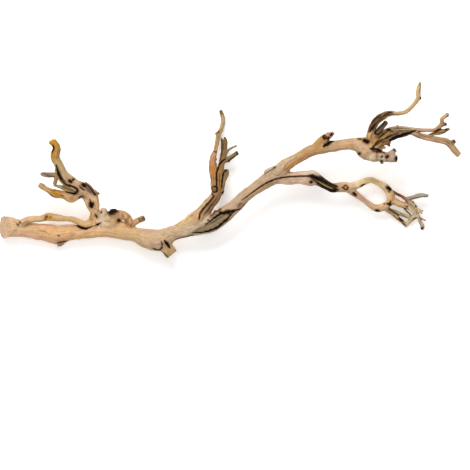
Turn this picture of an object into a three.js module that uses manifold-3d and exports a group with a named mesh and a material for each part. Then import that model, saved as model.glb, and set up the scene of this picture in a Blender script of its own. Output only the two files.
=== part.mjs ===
// Sandblasted grapevine branch: an old vine arm with its spurs and shoots, blasted down to bare wood and
// sawn off at the butt. It grew as one piece and is split here at its main forks. It lies on its side on the
// surface z = 0, resting on the belly of the trunk, the tip of the middle branch and the ends of the twigs
// at the right.

import * as THREE from "three";
import { mergeVertices } from "three/addons/utils/BufferGeometryUtils.js";
import Module from "manifold-3d";

const wasm = await Module();
wasm.setup();

// Driving dimensions in mm. Every limb below is a route on a plan grid seen from above, with x to the right
// and y down: each point is [x, y, height of the axis over the surface, radius], all in grid steps.
const OVERALL_LENGTH = 553.2;
const PLAN_LENGTH = 461; // grid steps from the butt to the far twig
const STEP = OVERALL_LENGTH / PLAN_LENGTH;
const PLAN_CENTRE_X = 230.4;
const PLAN_CENTRE_Y = 170;
const FORK_GAP = 0.3; // gap between two pieces that meet at a fork
const BUTT_CUT = [5.6, 227.1, 11.9]; // middle of the sawn face
const BUTT_LEAN = 28; // degrees that the sawn face turns up from facing straight back
const RING_PITCH = 2.2; // rings along a limb, in radii
const LOBE = 0.06; // how far the three lobes of a stem's section stand out, as a share of its radius

// The old arm: the sawn butt, a long stem that rests on the surface and lifts towards the fork of the two
// limbs, with the stubs of pruned spurs on it.
const TRUNK = {
  arm: [
    [-5, 227, 12.4, 10.6], [7, 227, 11.9, 10.5], [15, 228, 11, 8.9], [28, 230, 9.6, 7.4],
    [45, 232.2, 8.3, 8.3], [57, 234.9, 8.7, 8.9], [70, 232.7, 9.6, 7.7], [85, 231.8, 11, 6.5],
    [105, 229.8, 12.8, 7], [122, 231.8, 14.6, 7.7], [135, 234.3, 16.2, 7.3], [148, 239, 17.6, 9.8],
    [160, 239.7, 18.6, 10.5], [172, 233.5, 19.8, 7.4], [182, 230.7, 21, 7.5], [197, 226.3, 23, 8.6],
    [210, 223.6, 24.6, 8.9], [221, 217.3, 26, 7.9], [234.5, 206.8, 27, 6.7], [245, 196.4, 27.6, 6],
    [258, 186.7, 28, 6.1], [270, 178.6, 28.2, 7.5], [281, 173.2, 28.4, 6],
  ],
  belly_nub: [[57.6, 239.5, 8, 4.2], [59.8, 246.2, 8, 1.9]],
  belly_flake: [[60, 240.8, 7.5, 3.4], [64.4, 243.4, 7.5, 1.8]],
  grey_lump: [
    [102.6, 227, 14, 5.6], [103.2, 219.6, 18.4, 5.4], [103.6, 213, 21.5, 4.6], [104.6, 208.2, 23, 2.2],
  ],
  hollow_stub: [[111, 225, 16, 6], [113.5, 218, 21, 5.6], [112.8, 211.6, 24.5, 5.1]],
  arch: [
    [116, 214.6, 21.5, 4.6], [122, 214.9, 22.3, 4.2], [127, 217.6, 22, 3.9], [129.6, 223, 20, 3.6],
    [130, 229, 17, 3.4],
  ],
  arch_foot: [[108, 226.5, 15, 5.5], [117, 224, 17, 4.6], [124, 225.6, 17.5, 3.6], [129, 227.5, 16, 4]],
  pruned_spur: [[130, 226.5, 18, 3], [137, 221.2, 19, 3.1], [144.6, 217.9, 20, 2.6]],
  cut_stub: [[161, 240, 18.5, 6.5], [166, 247, 18.2, 6], [171.8, 254.2, 18, 5.8]],
  healed_knob: [[237, 203, 29, 3.4], [241.6, 206.6, 30, 3.3]],
  edge_flake: [[264.4, 173.4, 32.5, 2.4], [269.6, 170.2, 33.5, 2.7], [276, 166.6, 33.5, 1.2]],
};
const TRUNK_CUTS = {
  scar: [
    [195, 231.5, 28, 1.4], [205, 229.5, 31.8, 3.6], [215, 225.4, 34, 4.6], [224, 219, 34.6, 4.2],
    [233, 211.2, 34.2, 1.6],
  ],
  scar_cleft: [
    [207, 224.8, 33.4, 0.9], [214, 218, 34.4, 1.3], [223, 213.4, 33.8, 1.7], [233, 210.8, 32.8, 1.3],
    [239.4, 209.2, 31, 0.7],
  ],
  stub_slot: [[164.8, 240.6, 27.6, 1.1], [167.4, 244.5, 24.8, 1.5], [169.8, 247.8, 23.4, 0.9]],
  long_crack: [
    [242, 200.5, 32.8, 0.7], [251.4, 193.2, 33.6, 1], [258, 188.3, 34, 1], [265.2, 183.3, 34.6, 1],
    [274, 179.4, 34.6, 0.9],
  ],
  under_lip: [[151, 248.4, 19, 0.9], [156, 250.6, 19.5, 1], [160, 249.6, 20, 0.9]],
};
const TRUNK_PITS = {
  stub_hollow: { at: [112.6, 211, 27.6], radii: [4.6, 2, 4], turn: 20 },
  arch_hole: { at: [119, 220.5, 21], radii: [1.4, 1.4, 4], turn: 0 },
};

// A thin shoot that left the arm near the butt, ran beside it and grew back into it: a slit of daylight is
// left between.
const SIDE_BRANCH = {
  shoot: [
    [14, 226, 15, 3.2], [19, 224, 17, 3.2], [25, 221.8, 17.5, 3.5], [33, 218.9, 16.5, 3.2],
    [41, 218.7, 15.5, 2.9], [48, 216.5, 15, 4.1], [57, 217.6, 14.5, 3.2], [65, 218.7, 14.5, 2.5],
    [72, 219.5, 15, 2.8], [78, 221.7, 15.6, 3.2], [83.6, 224.2, 16, 3.3], [89.4, 223.2, 16.4, 3.8],
    [95, 219.4, 17, 3.4],
  ],
};

// The branch at the left: a short twisted stem that opens into a hooked prong, a lower prong and grey
// strands between.
const LEFT_BRANCH = {
  stem: [
    [95, 227, 12.5, 4.8], [94, 221.5, 16.5, 4.8], [94.2, 216, 20.5, 3.8], [94.8, 211.5, 23.5, 4.5],
    [92.9, 205, 27, 6.7], [91.2, 199, 30.5, 7.6], [89, 193, 33.5, 6.8],
  ],
  hooked_prong: [
    [90, 195, 33, 6.6], [83, 189.2, 37, 6], [75.8, 184.8, 40, 5.4], [70, 180.2, 43, 4.9],
    [65.8, 176, 45.5, 4.3], [62.2, 171, 47.5, 4], [58.9, 164.6, 50.5, 4.2], [55.4, 157.5, 53.6, 4.2],
    [56.4, 152, 56, 4.3], [57, 147.8, 57.6, 3.9], [54.4, 142.8, 59, 3.8], [53, 140.2, 60, 2.5],
  ],
  hook: [[54, 142.6, 59.2, 2.8], [50.2, 143.2, 59, 2.1]],
  outer_strand: [
    [58.5, 163, 50, 2], [57, 171, 46.5, 2.2], [59.2, 176.6, 43.5, 2], [62.6, 181.8, 40, 1.8],
    [67.4, 186.4, 36.4, 1.9], [72.6, 189, 34, 2],
  ],
  grey_twig: [
    [57.4, 174.8, 44, 2.2], [50, 175.2, 42.6, 2.6], [44, 174.6, 41.4, 2.3], [40.4, 174.5, 40.6, 0.8],
  ],
  twig_point: [[46, 174, 42, 1.5], [41.8, 172.6, 41.4, 0.7]],
  short_twig: [[57.4, 174.5, 44, 2.1], [54.6, 184.4, 40, 1.9]],
  grey_strand: [
    [84, 192.5, 33, 3.4], [77, 191.6, 32.5, 3.1], [68, 189.4, 33, 2.6], [61.4, 186.8, 34.5, 1.9],
    [53.4, 185.4, 35.5, 0.8],
  ],
  lower_prong: [
    [90, 198, 31, 6], [82, 195, 32, 3.1], [77, 196.2, 32, 3.3], [71.2, 197.8, 31.5, 4.3],
    [64.6, 195, 31, 3.5], [58, 193.6, 30.8, 4], [54, 192.8, 30.5, 4], [49.4, 190.6, 30, 2.8],
    [45.4, 188.4, 30, 2.6], [42, 186.2, 30, 2.9], [38.9, 184.6, 30, 2.2],
  ],
  flake: [[84.6, 182.8, 38.5, 1.6], [89.4, 188, 38.8, 2.8], [95.4, 194, 36, 1.9]],
  spur: [[93, 196, 32, 3.4], [97.4, 191.6, 33, 2.6]],
  spur_nub: [[96.6, 193.4, 32, 1.8], [99.6, 193.4, 32, 1.2]],
};
const LEFT_CUTS = {
  stem_slit: [[95.2, 213.4, 30, 0.8], [96.4, 216.2, 28.5, 1], [97, 218, 27, 0.7]],
  strand_groove: [
    [56.6, 165, 53.4, 0.7], [58.6, 172, 49, 0.9], [62.2, 180, 43.5, 0.9], [69, 186.6, 38, 1],
    [77, 189.6, 36.5, 0.8],
  ],
};
const LEFT_PITS = {
  teardrop: { at: [91.7, 205.2, 35.2], radii: [2.9, 3.7, 4.6], turn: 12 },
  prong_knot: { at: [71, 181.6, 47.8], radii: [1.9, 1.5, 2], turn: 30 },
  flake_knot: { at: [84.4, 185.9, 43], radii: [2.2, 1.7, 2.4], turn: 20 },
  hook_notch: { at: [51.4, 148.4, 58], radii: [1.6, 2.6, 5], turn: 10 },
};

// The branch in the middle leaves the fork as two strands twisted together and droops to the surface,
// splitting into slabs, spikes and a long thin shoot.
const MIDDLE_BRANCH = {
  stem: [
    [196, 226, 24, 7.4], [198.6, 217.8, 24.5, 7.6], [204.6, 210.6, 24, 6.6], [210.2, 203.2, 22.8, 5.2],
    [215.8, 196.6, 21.6, 5], [218.4, 190, 20.4, 5.6],
  ],
  pale_strand: [[178, 229, 20.5, 5], [187.6, 223, 23, 5.3], [196, 215.4, 24.6, 5.2]],
  long_shoot: [
    [216, 192, 20.8, 4], [214.4, 187.5, 19.8, 3.7], [213.7, 180.5, 18.6, 3], [213.2, 171, 16.6, 4],
    [212.4, 163.5, 14.6, 3.4], [212.9, 157, 12.8, 3.2], [215.2, 151, 11.2, 2.1], [217, 142, 9, 2],
    [218.9, 134, 7, 2.4], [221.7, 128, 5.4, 2.2], [223.1, 119.6, 3.2, 2.2], [221.9, 114.6, 1.9, 1.9],
    [220.4, 110, 1, 1.6],
  ],
  slab: [
    [219.3, 193, 20.5, 3.4], [219.2, 181, 19.5, 3.4], [219.8, 172, 18.5, 3.6], [221.6, 164, 17.5, 3.2],
    [223.4, 155, 16.5, 3.2], [224, 147, 15.5, 3],
  ],
  left_spike: [[222.8, 149.5, 15.6, 2], [221.5, 137.6, 14.6, 0.8]],
  right_spike: [[225.2, 149.5, 15.6, 2.2], [225.3, 142, 15.2, 1.8], [224.5, 136.6, 15, 0.8]],
  side_slab: [
    [221.4, 193, 21, 2.6], [223.4, 182, 20.6, 2.5], [226.2, 174, 20.2, 2.8], [226.6, 169.4, 20, 2.2],
  ],
  thin_twig: [[224.4, 158, 17, 1.4], [228.5, 150, 19, 1.2], [236.6, 145.6, 21, 1]],
  black_stub: [[222.5, 162, 17, 2.3], [229.5, 158.4, 17.5, 2.3], [238, 152.5, 18.5, 2]],
  stub_nub: [[227.6, 159.6, 17.4, 1.8], [229.5, 161.8, 17.6, 1.5]],
  side_bump: [[213, 163, 14.6, 2.6], [209.5, 161.6, 14.6, 1.5]],
  bud: [[219.2, 134.2, 7, 1.8], [215.8, 132.8, 7, 1.4]],
};
const MIDDLE_CUTS = {
  strand_groove: [
    [199.3, 220, 33, 0.8], [200.6, 214, 32.4, 1.1], [207, 205.4, 29.6, 1.1], [213.6, 197.2, 27, 0.9],
  ],
  shoot_seam: [[217, 187, 23, 0.7], [216.6, 178, 21.6, 0.9], [217, 169, 20, 0.7]],
};

// The upper limb climbs away from the fork to a burr of old cuts at its end.
const UPPER_LIMB = {
  limb: [
    [271, 177, 28.5, 6], [278, 171.5, 29.5, 6.4], [287, 164.8, 31, 6.4], [293, 160.7, 32, 5.3],
    [302, 155.8, 33.5, 5.3], [312, 150.6, 35.5, 5.6], [320, 148, 37, 6.2], [334.6, 146.4, 40, 5],
    [345, 145, 42, 5.2], [356, 144.5, 44, 6.6], [364.6, 147.6, 45, 10.4], [373, 153.4, 44.5, 8.3],
    [382.5, 156.8, 43.5, 5.1], [391, 157.9, 42.8, 4.4], [397.2, 158.5, 42.5, 3.1],
  ],
  fork_web: [[281, 172.5, 29, 5], [288.6, 167.8, 30, 4.2]],
  cut_spur: [[317.5, 147, 38, 5], [324, 139.8, 40, 4.6], [330, 135.2, 41.5, 3.2]],
  spur_tip_left: [[322.6, 141, 40, 3], [324.6, 135.4, 40, 2.2]],
  spur_tip_middle: [[326.4, 139, 41, 2.5], [328.6, 132.4, 42, 1.8]],
  spur_tip_right: [[329, 136.4, 42, 2.5], [333.7, 132.8, 43, 1.9]],
  burr_stub: [[387, 157, 43, 3.2], [395, 149.6, 44.5, 2.5]],
  burr_drip: [[380.6, 158, 43, 2.4], [382, 164, 42.5, 1.5]],
};
const UPPER_CUTS = {
  spur_cleft: [[323.6, 146.6, 43.8, 1.1], [328.2, 143.8, 43.6, 1.8], [333.6, 141, 44.2, 0.9]],
};
const UPPER_PITS = {
  burr_hole: { at: [365.4, 141, 54.4], radii: [2.8, 2, 4], turn: -20 },
  spur_ring: { at: [324.4, 137.4, 44.4], radii: [1.6, 1.6, 2.4], turn: 0 },
  burr_eye: { at: [387.1, 156.9, 48.4], radii: [1.6, 1.5, 2], turn: 0 },
  burr_rim: { at: [359.2, 153.8, 50], radii: [1.4, 1.2, 2.4], turn: 0 },
  end_hollow: { at: [398.4, 158.5, 43], radii: [2, 1.7, 1.9], turn: 0 },
};

// A shoot with its bark left on rises from the burr in an arc and ends in a pale crooked twig.
const ARC_BRANCH = {
  shoot: [
    [369.4, 147, 46, 4.4], [369.8, 139, 50, 4.1], [371, 131, 56, 3.6], [374, 124, 62, 3.6],
    [379.4, 118.5, 68, 3.7], [385.4, 115.3, 73, 3.4], [390.8, 113.9, 76, 2.8], [397.2, 114, 78, 2],
    [404.4, 112.6, 79, 1.9], [409.4, 109, 79, 1.9], [414.2, 103.6, 78, 2], [417.6, 98.4, 76.5, 2.3],
    [417.4, 92.5, 74.5, 2.2], [418.4, 87, 72.5, 1.9], [419.6, 82.6, 71.4, 0.8],
  ],
  bud: [[417.8, 98.6, 76.6, 1.8], [420.4, 99, 76.8, 1.2]],
  short_shoot: [
    [370.6, 142, 48, 3.5], [376.4, 134.4, 53, 3.2], [381, 128.4, 57, 2.9], [386, 122.2, 61, 2.3],
  ],
};

// A fibrous strip runs on from the burr to the far end and forks into two crooked twigs.
const TIP_BRANCH = {
  strip: [
    [369, 149, 47, 5], [378, 141.5, 49, 5.2], [386, 135.2, 50, 5.3], [395, 131.8, 50.5, 5],
    [405, 130.5, 50.5, 3.7], [414, 129.9, 50, 2.6],
  ],
  under_strip: [
    [381, 143, 46.5, 3.4], [394, 136.6, 46.5, 3.3], [405, 134.4, 47.5, 2.3], [414, 131.6, 48.5, 1.7],
  ],
  spike: [[395.5, 129.8, 53.5, 2.2], [397.6, 125.2, 55, 0.9]],
  upper_twig: [
    [411, 130, 50, 2.4], [425, 130.5, 50, 1.8], [434, 130.3, 51, 2], [438.6, 127.5, 52.5, 2.3],
    [441.8, 123.7, 54, 2.2], [441.3, 119.8, 55.5, 2], [444.4, 117, 57, 1.9], [447.8, 114.7, 58.5, 2],
  ],
  cut_stub: [[440.4, 125.8, 53, 1.8], [446.2, 124.2, 53.5, 1.6]],
  forked_stub: [[435.5, 131, 51, 2], [443.6, 131, 51.5, 1.8], [449, 128.8, 52, 1.3]],
  link: [[427.5, 136.8, 46, 1.8], [433, 134.2, 48, 1.7], [439, 133.4, 49.5, 1.8], [445, 131.4, 51, 1.6]],
  lower_twig: [
    [409, 130.8, 49.8, 2.6], [418, 135.2, 48, 2.7], [427, 137.9, 46, 2.9], [436.8, 140, 44, 3],
    [445.6, 141.8, 42, 3.2], [450.8, 145.9, 40.5, 3.3], [454.8, 151, 39.5, 3.1],
    [458.7, 155.4, 38.5, 2.8],
  ],
  twig_nub: [[450.2, 144, 41.5, 2.5], [454.8, 140.9, 42, 1.8]],
  under_twig: [[377, 147, 46, 2.4], [386, 142.5, 45.5, 2], [390, 143.7, 45, 1.7]],
  under_thorn: [[384.6, 143, 45, 1.4], [389.9, 146.2, 44, 1]],
  thorn: [[376, 149.6, 45.5, 2], [385.6, 147.4, 45.5, 0.9]],
};

// The lower limb runs on from the fork past a swollen knuckle, a dark twisted length and a ringed knot.
const LOWER_LIMB = {
  limb: [
    [268, 180.5, 27.6, 5.2], [280, 178.2, 27.4, 6], [290, 178.4, 27, 5.9], [300, 177.8, 26.6, 6],
    [308, 178, 26.2, 7.2], [313, 178.1, 25.8, 7.7], [318.5, 180.2, 25.2, 5.5], [325, 184, 24, 4.7],
    [332, 187.6, 22.6, 4.6], [338, 187.6, 21.4, 4.8], [345, 187.4, 20, 5.3], [352, 187.4, 18.8, 5.1],
  ],
};
const LOWER_CUTS = {
  long_crack: [
    [281, 177.6, 33.6, 0.9], [296.5, 176.5, 32.8, 0.9], [306, 176.2, 33.2, 0.9],
    [312.8, 175.2, 33.2, 1.2], [317, 178, 31.4, 0.7],
  ],
};
const LOWER_PITS = {
  knuckle_hole: { at: [311.2, 182.3, 32.8], radii: [1.9, 1.7, 2.6], turn: 0 },
};

// Past the knot the limb parts into two arms that meet again, round an open loop.
const LOOP_RING = {
  upper_arm: [
    [348, 187, 19.4, 5], [357, 185.2, 18.4, 3.7], [363.5, 182, 18, 3.4], [371, 180, 17.4, 3],
    [378, 182.9, 16.4, 3], [385.3, 187.3, 15, 3.4], [389.6, 192.5, 13.8, 3.8], [391, 198, 12.8, 3.6],
    [389.2, 203.5, 12, 3.4],
  ],
  lower_arm: [
    [348, 188.6, 18.8, 4], [355.2, 193.7, 17, 3.2], [361, 197.8, 15.6, 2.7], [367.4, 202.7, 14, 2.7],
    [374, 207.4, 12.8, 3.3], [380, 208.2, 12, 3.8], [385.6, 206, 11.8, 3.7], [390.5, 202.5, 12, 3.3],
  ],
};
const LOOP_PITS = {
  shoulder_slot: { at: [388.9, 188.2, 18.7], radii: [2.3, 1.3, 2.4], turn: -30 },
  foot_slot: { at: [388.7, 202.6, 15.8], radii: [2.3, 1.4, 2], turn: -30 },
};

// The end of the lower limb: a ragged fan of thin twigs and strands, some of which reach down to the
// surface.
const TWIG_CLUSTER = {
  middle_strand: [
    [387.5, 200.5, 12.2, 4], [395, 201.4, 11.4, 3.6], [400, 204, 10.8, 3.3], [406, 205.7, 10, 3.2],
    [411, 208, 9.4, 2.9], [415, 211.5, 8.6, 2.6],
  ],
  upper_strand: [
    [390, 190.3, 14.2, 2], [399.5, 195, 13, 1.4], [404.5, 198.2, 12, 1.7], [408.5, 201.5, 11, 2.1],
    [412.5, 203.8, 10.2, 2.3], [415.5, 209.5, 9, 2.4],
  ],
  grey_twig: [
    [405.6, 199.2, 11.8, 1.8], [413.5, 197.4, 12.6, 2], [420.5, 195.5, 13.4, 2.2],
    [428.6, 195.8, 14, 1.5],
  ],
  hanging_strand: [
    [414.6, 209, 8.8, 2.4], [415.4, 215, 7, 2.4], [410.8, 220.2, 4.4, 2.2], [406.8, 224.8, 1.6, 1.6],
  ],
  lower_strand: [
    [386, 208.8, 11, 2.2], [396.4, 212, 8.8, 2], [403.7, 215.1, 7, 2], [411.5, 218.3, 5.4, 1.9],
  ],
  foot_strand: [
    [385, 208.6, 10.6, 2.4], [392.6, 213.4, 8, 2.1], [398.5, 218.2, 5.6, 2], [404.2, 223, 3, 1.7],
    [406.6, 226.6, 1, 1.3],
  ],
  cross_twig: [[404, 208.4, 8.8, 0.9], [411.8, 215.6, 6.8, 0.8]],
  right_twig: [
    [414.8, 209.5, 8.8, 2.4], [418.2, 216, 6, 2], [421, 222.8, 3.2, 1.7], [422.8, 226.2, 1.9, 2.1],
    [422.1, 229.5, 1, 1.3],
  ],
  side_lump: [[415, 209, 9, 2.4], [420.7, 211.2, 9.4, 1.8]],
  side_thorn_up: [[419.6, 211, 9.4, 1], [423.8, 210.6, 9.8, 0.8]],
  side_thorn_down: [[419.6, 211.2, 9.2, 1], [422.5, 213.8, 9, 0.8]],
  thin_twig: [[418.2, 216.4, 6, 1], [422, 218.8, 5.4, 0.8], [426.5, 220.6, 4.8, 0.7]],
  upper_nub: [[412, 203.6, 10.6, 1.6], [413.8, 201.3, 11.2, 1.2]],
  side_nub: [[414.4, 207.2, 9.6, 1.6], [417, 206, 10, 1.2]],
  strand_nub: [[411.2, 219.6, 5, 1.4], [416.2, 217.2, 5.2, 1]],
};

const place = ([x, y, z]) =>
  new THREE.Vector3((x - PLAN_CENTRE_X) * STEP, (PLAN_CENTRE_Y - y) * STEP, z * STEP);

// A closed solid from a geometry whose shared vertices are merged by position.
function solidOf(geometry) {
  geometry.deleteAttribute("normal");
  geometry.deleteAttribute("uv");
  const merged = mergeVertices(geometry, 1e-5);
  const vertProperties = new Float32Array(merged.attributes.position.array);
  const triVerts = new Uint32Array(merged.index.array);
  return new wasm.Manifold(new wasm.Mesh({ numProp: 3, vertProperties, triVerts }));
}

// A limb is a cylinder bent along the smooth curve through its route, with a lobed section that turns slowly
// along it. Grown by a margin, it cuts the room that its neighbour has to leave.
function limb(route, margin = 0) {
  const curve = new THREE.CatmullRomCurve3(route.map(place), false, "centripetal");
  const radii = route.map((point) => point[3] * STEP);
  const mean = radii.reduce((sum, radius) => sum + radius, 0) / radii.length;
  const sides = mean > 6 ? 10 : mean > 3 ? 7 : 5;
  const rings = Math.max(1, Math.round(curve.getLength() / (RING_PITCH * Math.max(mean, 2.6))));
  const tube = new THREE.CylinderGeometry(1, 1, 1, sides, rings);
  const frames = curve.computeFrenetFrames(rings);
  const position = tube.attributes.position;
  const across = new THREE.Vector3();
  for (let v = 0; v < position.count; v += 1) {
    const ring = Math.round((0.5 - position.getY(v)) * rings);
    const span = curve.getUtoTmapping(ring / rings) * (route.length - 1);
    const before = Math.min(Math.floor(span), route.length - 2);
    const radius = THREE.MathUtils.lerp(radii[before], radii[before + 1], span - before) + margin;
    const angle = Math.atan2(position.getZ(v), position.getX(v));
    const lobed = radius * (1 + LOBE * Math.cos(3 * angle + 0.5 * ring));
    across.copy(frames.normals[ring]).multiplyScalar(position.getX(v) * lobed);
    across.addScaledVector(frames.binormals[ring], position.getZ(v) * lobed);
    const overrun = ring === 0 ? -margin : ring === rings ? margin : 0;
    across.addScaledVector(frames.tangents[ring], overrun);
    across.add(curve.getPointAt(ring / rings));
    position.setXYZ(v, across.x, across.y, across.z);
  }
  return solidOf(tube);
}

function pit({ at, radii, turn }) {
  const hollow = new THREE.SphereGeometry(1, 7, 5);
  hollow.scale(radii[0] * STEP, radii[1] * STEP, radii[2] * STEP);
  hollow.rotateZ(THREE.MathUtils.degToRad(turn));
  hollow.translate(...place(at));
  return solidOf(hollow);
}

const joined = (limbs, margin) =>
  Object.values(limbs)
    .map((route) => limb(route, margin))
    .reduce((whole, next) => whole.add(next));

// The room below the surface and behind the sawn face, which nothing reaches into.
const below = solidOf(
  new THREE.BoxGeometry(2 * OVERALL_LENGTH, OVERALL_LENGTH, 60).translate(0, 0, -30),
);
const behindButt = solidOf(
  new THREE.BoxGeometry(60, 80, 80)
    .translate(-30, 0, 0)
    .rotateY(THREE.MathUtils.degToRad(BUTT_LEAN))
    .translate(...place(BUTT_CUT)),
);

// A piece keeps its largest body, so that no sliver is left across the limb it grows from.
function piece(limbs, { cuts = {}, pits = {}, parents = [] }) {
  let solid = joined(limbs, 0).subtract(below);
  for (const route of Object.values(cuts)) {
    solid = solid.subtract(limb(route));
  }
  for (const hollow of Object.values(pits)) {
    solid = solid.subtract(pit(hollow));
  }
  for (const parent of parents) {
    solid = solid.subtract(joined(parent, FORK_GAP));
  }
  return solid.decompose().reduce((main, body) => (body.volume() > main.volume() ? body : main));
}

function meshOf(name, colour, solid) {
  const { vertProperties, triVerts } = solid.getMesh();
  const geometry = new THREE.BufferGeometry();
  geometry.setAttribute("position", new THREE.BufferAttribute(vertProperties, 3));
  geometry.setIndex(new THREE.BufferAttribute(triVerts, 1));
  const finish = { color: colour, roughness: 0.85, metalness: 0, flatShading: true };
  const material = new THREE.MeshStandardMaterial(finish);
  const mesh = new THREE.Mesh(geometry, material);
  mesh.name = name;
  return mesh;
}

const branch = new THREE.Group();
branch.add(
  meshOf("trunk", 0xd6ab7c, piece(TRUNK, { cuts: TRUNK_CUTS, pits: TRUNK_PITS }).subtract(behindButt)),
  meshOf("side_branch", 0xcfae80, piece(SIDE_BRANCH, { parents: [TRUNK] })),
  meshOf(
    "left_branch",
    0xb99a6b,
    piece(LEFT_BRANCH, { cuts: LEFT_CUTS, pits: LEFT_PITS, parents: [TRUNK, SIDE_BRANCH] }),
  ),
  meshOf("middle_branch", 0xb08a5a, piece(MIDDLE_BRANCH, { cuts: MIDDLE_CUTS, parents: [TRUNK] })),
  meshOf("lower_limb", 0xc6a98c, piece(LOWER_LIMB, { cuts: LOWER_CUTS, pits: LOWER_PITS, parents: [TRUNK] })),
  meshOf(
    "upper_limb",
    0xb8936b,
    piece(UPPER_LIMB, { cuts: UPPER_CUTS, pits: UPPER_PITS, parents: [TRUNK, LOWER_LIMB] }),
  ),
  meshOf("arc_branch", 0x786046, piece(ARC_BRANCH, { parents: [UPPER_LIMB] })),
  meshOf("tip_branch", 0x967e5f, piece(TIP_BRANCH, { parents: [UPPER_LIMB, ARC_BRANCH] })),
  meshOf("loop_ring", 0xbda478, piece(LOOP_RING, { pits: LOOP_PITS, parents: [LOWER_LIMB] })),
  meshOf("twig_cluster", 0xbfab8e, piece(TWIG_CLUSTER, { parents: [LOOP_RING] })),
);

export default branch;
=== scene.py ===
import math

import bpy
import numpy as np
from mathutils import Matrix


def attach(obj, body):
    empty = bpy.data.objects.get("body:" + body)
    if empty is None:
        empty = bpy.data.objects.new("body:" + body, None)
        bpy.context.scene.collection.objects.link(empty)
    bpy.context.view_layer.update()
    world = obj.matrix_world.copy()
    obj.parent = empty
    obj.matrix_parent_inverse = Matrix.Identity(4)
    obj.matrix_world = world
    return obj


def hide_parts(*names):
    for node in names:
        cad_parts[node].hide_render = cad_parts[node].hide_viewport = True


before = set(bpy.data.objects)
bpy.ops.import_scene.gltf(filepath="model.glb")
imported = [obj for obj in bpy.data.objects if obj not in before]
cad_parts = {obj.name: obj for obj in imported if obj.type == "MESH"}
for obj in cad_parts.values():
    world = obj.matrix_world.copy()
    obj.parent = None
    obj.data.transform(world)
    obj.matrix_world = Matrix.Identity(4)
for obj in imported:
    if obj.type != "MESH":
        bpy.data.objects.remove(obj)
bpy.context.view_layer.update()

# The studio: a plain floor of white paper in soft white light from above, most of it from the far side and a
# little from the near left, with a long lens that looks straight down on the branch.
FLOOR_SIZE = 8.0
IMAGE_STEPS = 470.0  # side of the square picture, in steps of the plan that the limbs are drawn on
PLAN_STEP = 0.0012  # one plan step, in metres
PLAN_CENTRE = (230.4, 170.0)  # the plan point over the frame's origin
LENS = 1000.0  # mm
SENSOR = 36.0  # mm
SIGHT = 100.0  # how far the lens sees
MIDDLE_HEIGHT = 0.03  # height at which the picture has its true scale
ROOM_LIGHT = 0.25
SOFTBOXES = [  # name, place, side in metres, watts
    ("far softbox", (-0.4, 1.6, 1.9), 1.3, 44.0),
    ("near softbox", (-0.6, -0.6, 0.8), 0.6, 2.2),
    ("overhead softbox", (0.1, -0.1, 2.6), 1.8, 21.0),
]


def linear(colour):
    """Linear red, green and blue of an sRGB hex colour."""
    parts = [int(colour[i : i + 2], 16) / 255 for i in (1, 3, 5)]
    return [c / 12.92 if c <= 0.04045 else ((c + 0.055) / 1.055) ** 2.4 for c in parts]


def plan(x, y, z=0.0):
    """The place in metres of a plan point: x to the right, y down the picture, z up from the floor."""
    return ((x - PLAN_CENTRE[0]) * PLAN_STEP, (PLAN_CENTRE[1] - y) * PLAN_STEP, z * PLAN_STEP)


def add_node(tree, kind, settings=None, links=None):
    """A node with its settings, and its inputs set to values or linked to other nodes' outputs."""
    node = tree.nodes.new(kind)
    for name, value in (settings or {}).items():
        setattr(node, name, value)
    for socket, value in (links or {}).items():
        if isinstance(value, bpy.types.NodeSocket):
            tree.links.new(value, node.inputs[socket])
        else:
            node.inputs[socket].default_value = value
    return node


half = FLOOR_SIZE / 2
floor_mesh = bpy.data.meshes.new("floor")
floor_corners = [(-half, -half, 0), (half, -half, 0), (half, half, 0), (-half, half, 0)]
floor_mesh.from_pydata(floor_corners, [], [(0, 1, 2, 3)])
floor = bpy.data.objects.new("floor", floor_mesh)
bpy.context.collection.objects.link(floor)
# matt background paper, lit a little from behind, so that it stays white in the shade of the branch
paper = bpy.data.materials.new("white studio paper")
paper.use_nodes = True
for socket, value in {
    "Base Color": (*linear("#FCFCFC"), 1),
    "Roughness": 1.0,
    "Specular IOR Level": 0.0,
    "Emission Color": (1, 1, 1, 1),
    "Emission Strength": 0.24,
}.items():
    paper.node_tree.nodes["Principled BSDF"].inputs[socket].default_value = value
floor_mesh.materials.append(paper)

world = bpy.data.worlds.new("soft white room")
world.use_nodes = True
world.node_tree.nodes["Background"].inputs["Color"].default_value = (1, 1, 1, 1)
world.node_tree.nodes["Background"].inputs["Strength"].default_value = ROOM_LIGHT
bpy.context.scene.world = world
bpy.context.scene.view_settings.view_transform = "Standard"

for name, place, side, power in SOFTBOXES:
    lamp = bpy.data.lights.new(name, "AREA")
    lamp.size = side
    lamp.energy = power
    softbox = bpy.data.objects.new(name, lamp)
    softbox.location = place
    aim = np.array(place)
    softbox.rotation_euler = (math.atan2(math.hypot(*aim[:2]), aim[2]), 0, math.atan2(aim[0], -aim[1]))
    bpy.context.collection.objects.link(softbox)

eye = plan(IMAGE_STEPS / 2, IMAGE_STEPS / 2)
lens = bpy.data.cameras.new("long lens")
lens.lens = LENS
lens.sensor_width = SENSOR
lens.clip_end = SIGHT
camera = bpy.data.objects.new("camera", lens)
camera.location = (eye[0], eye[1], MIDDLE_HEIGHT + IMAGE_STEPS * PLAN_STEP * LENS / SENSOR)
bpy.context.collection.objects.link(camera)
bpy.context.scene.camera = camera


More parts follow.
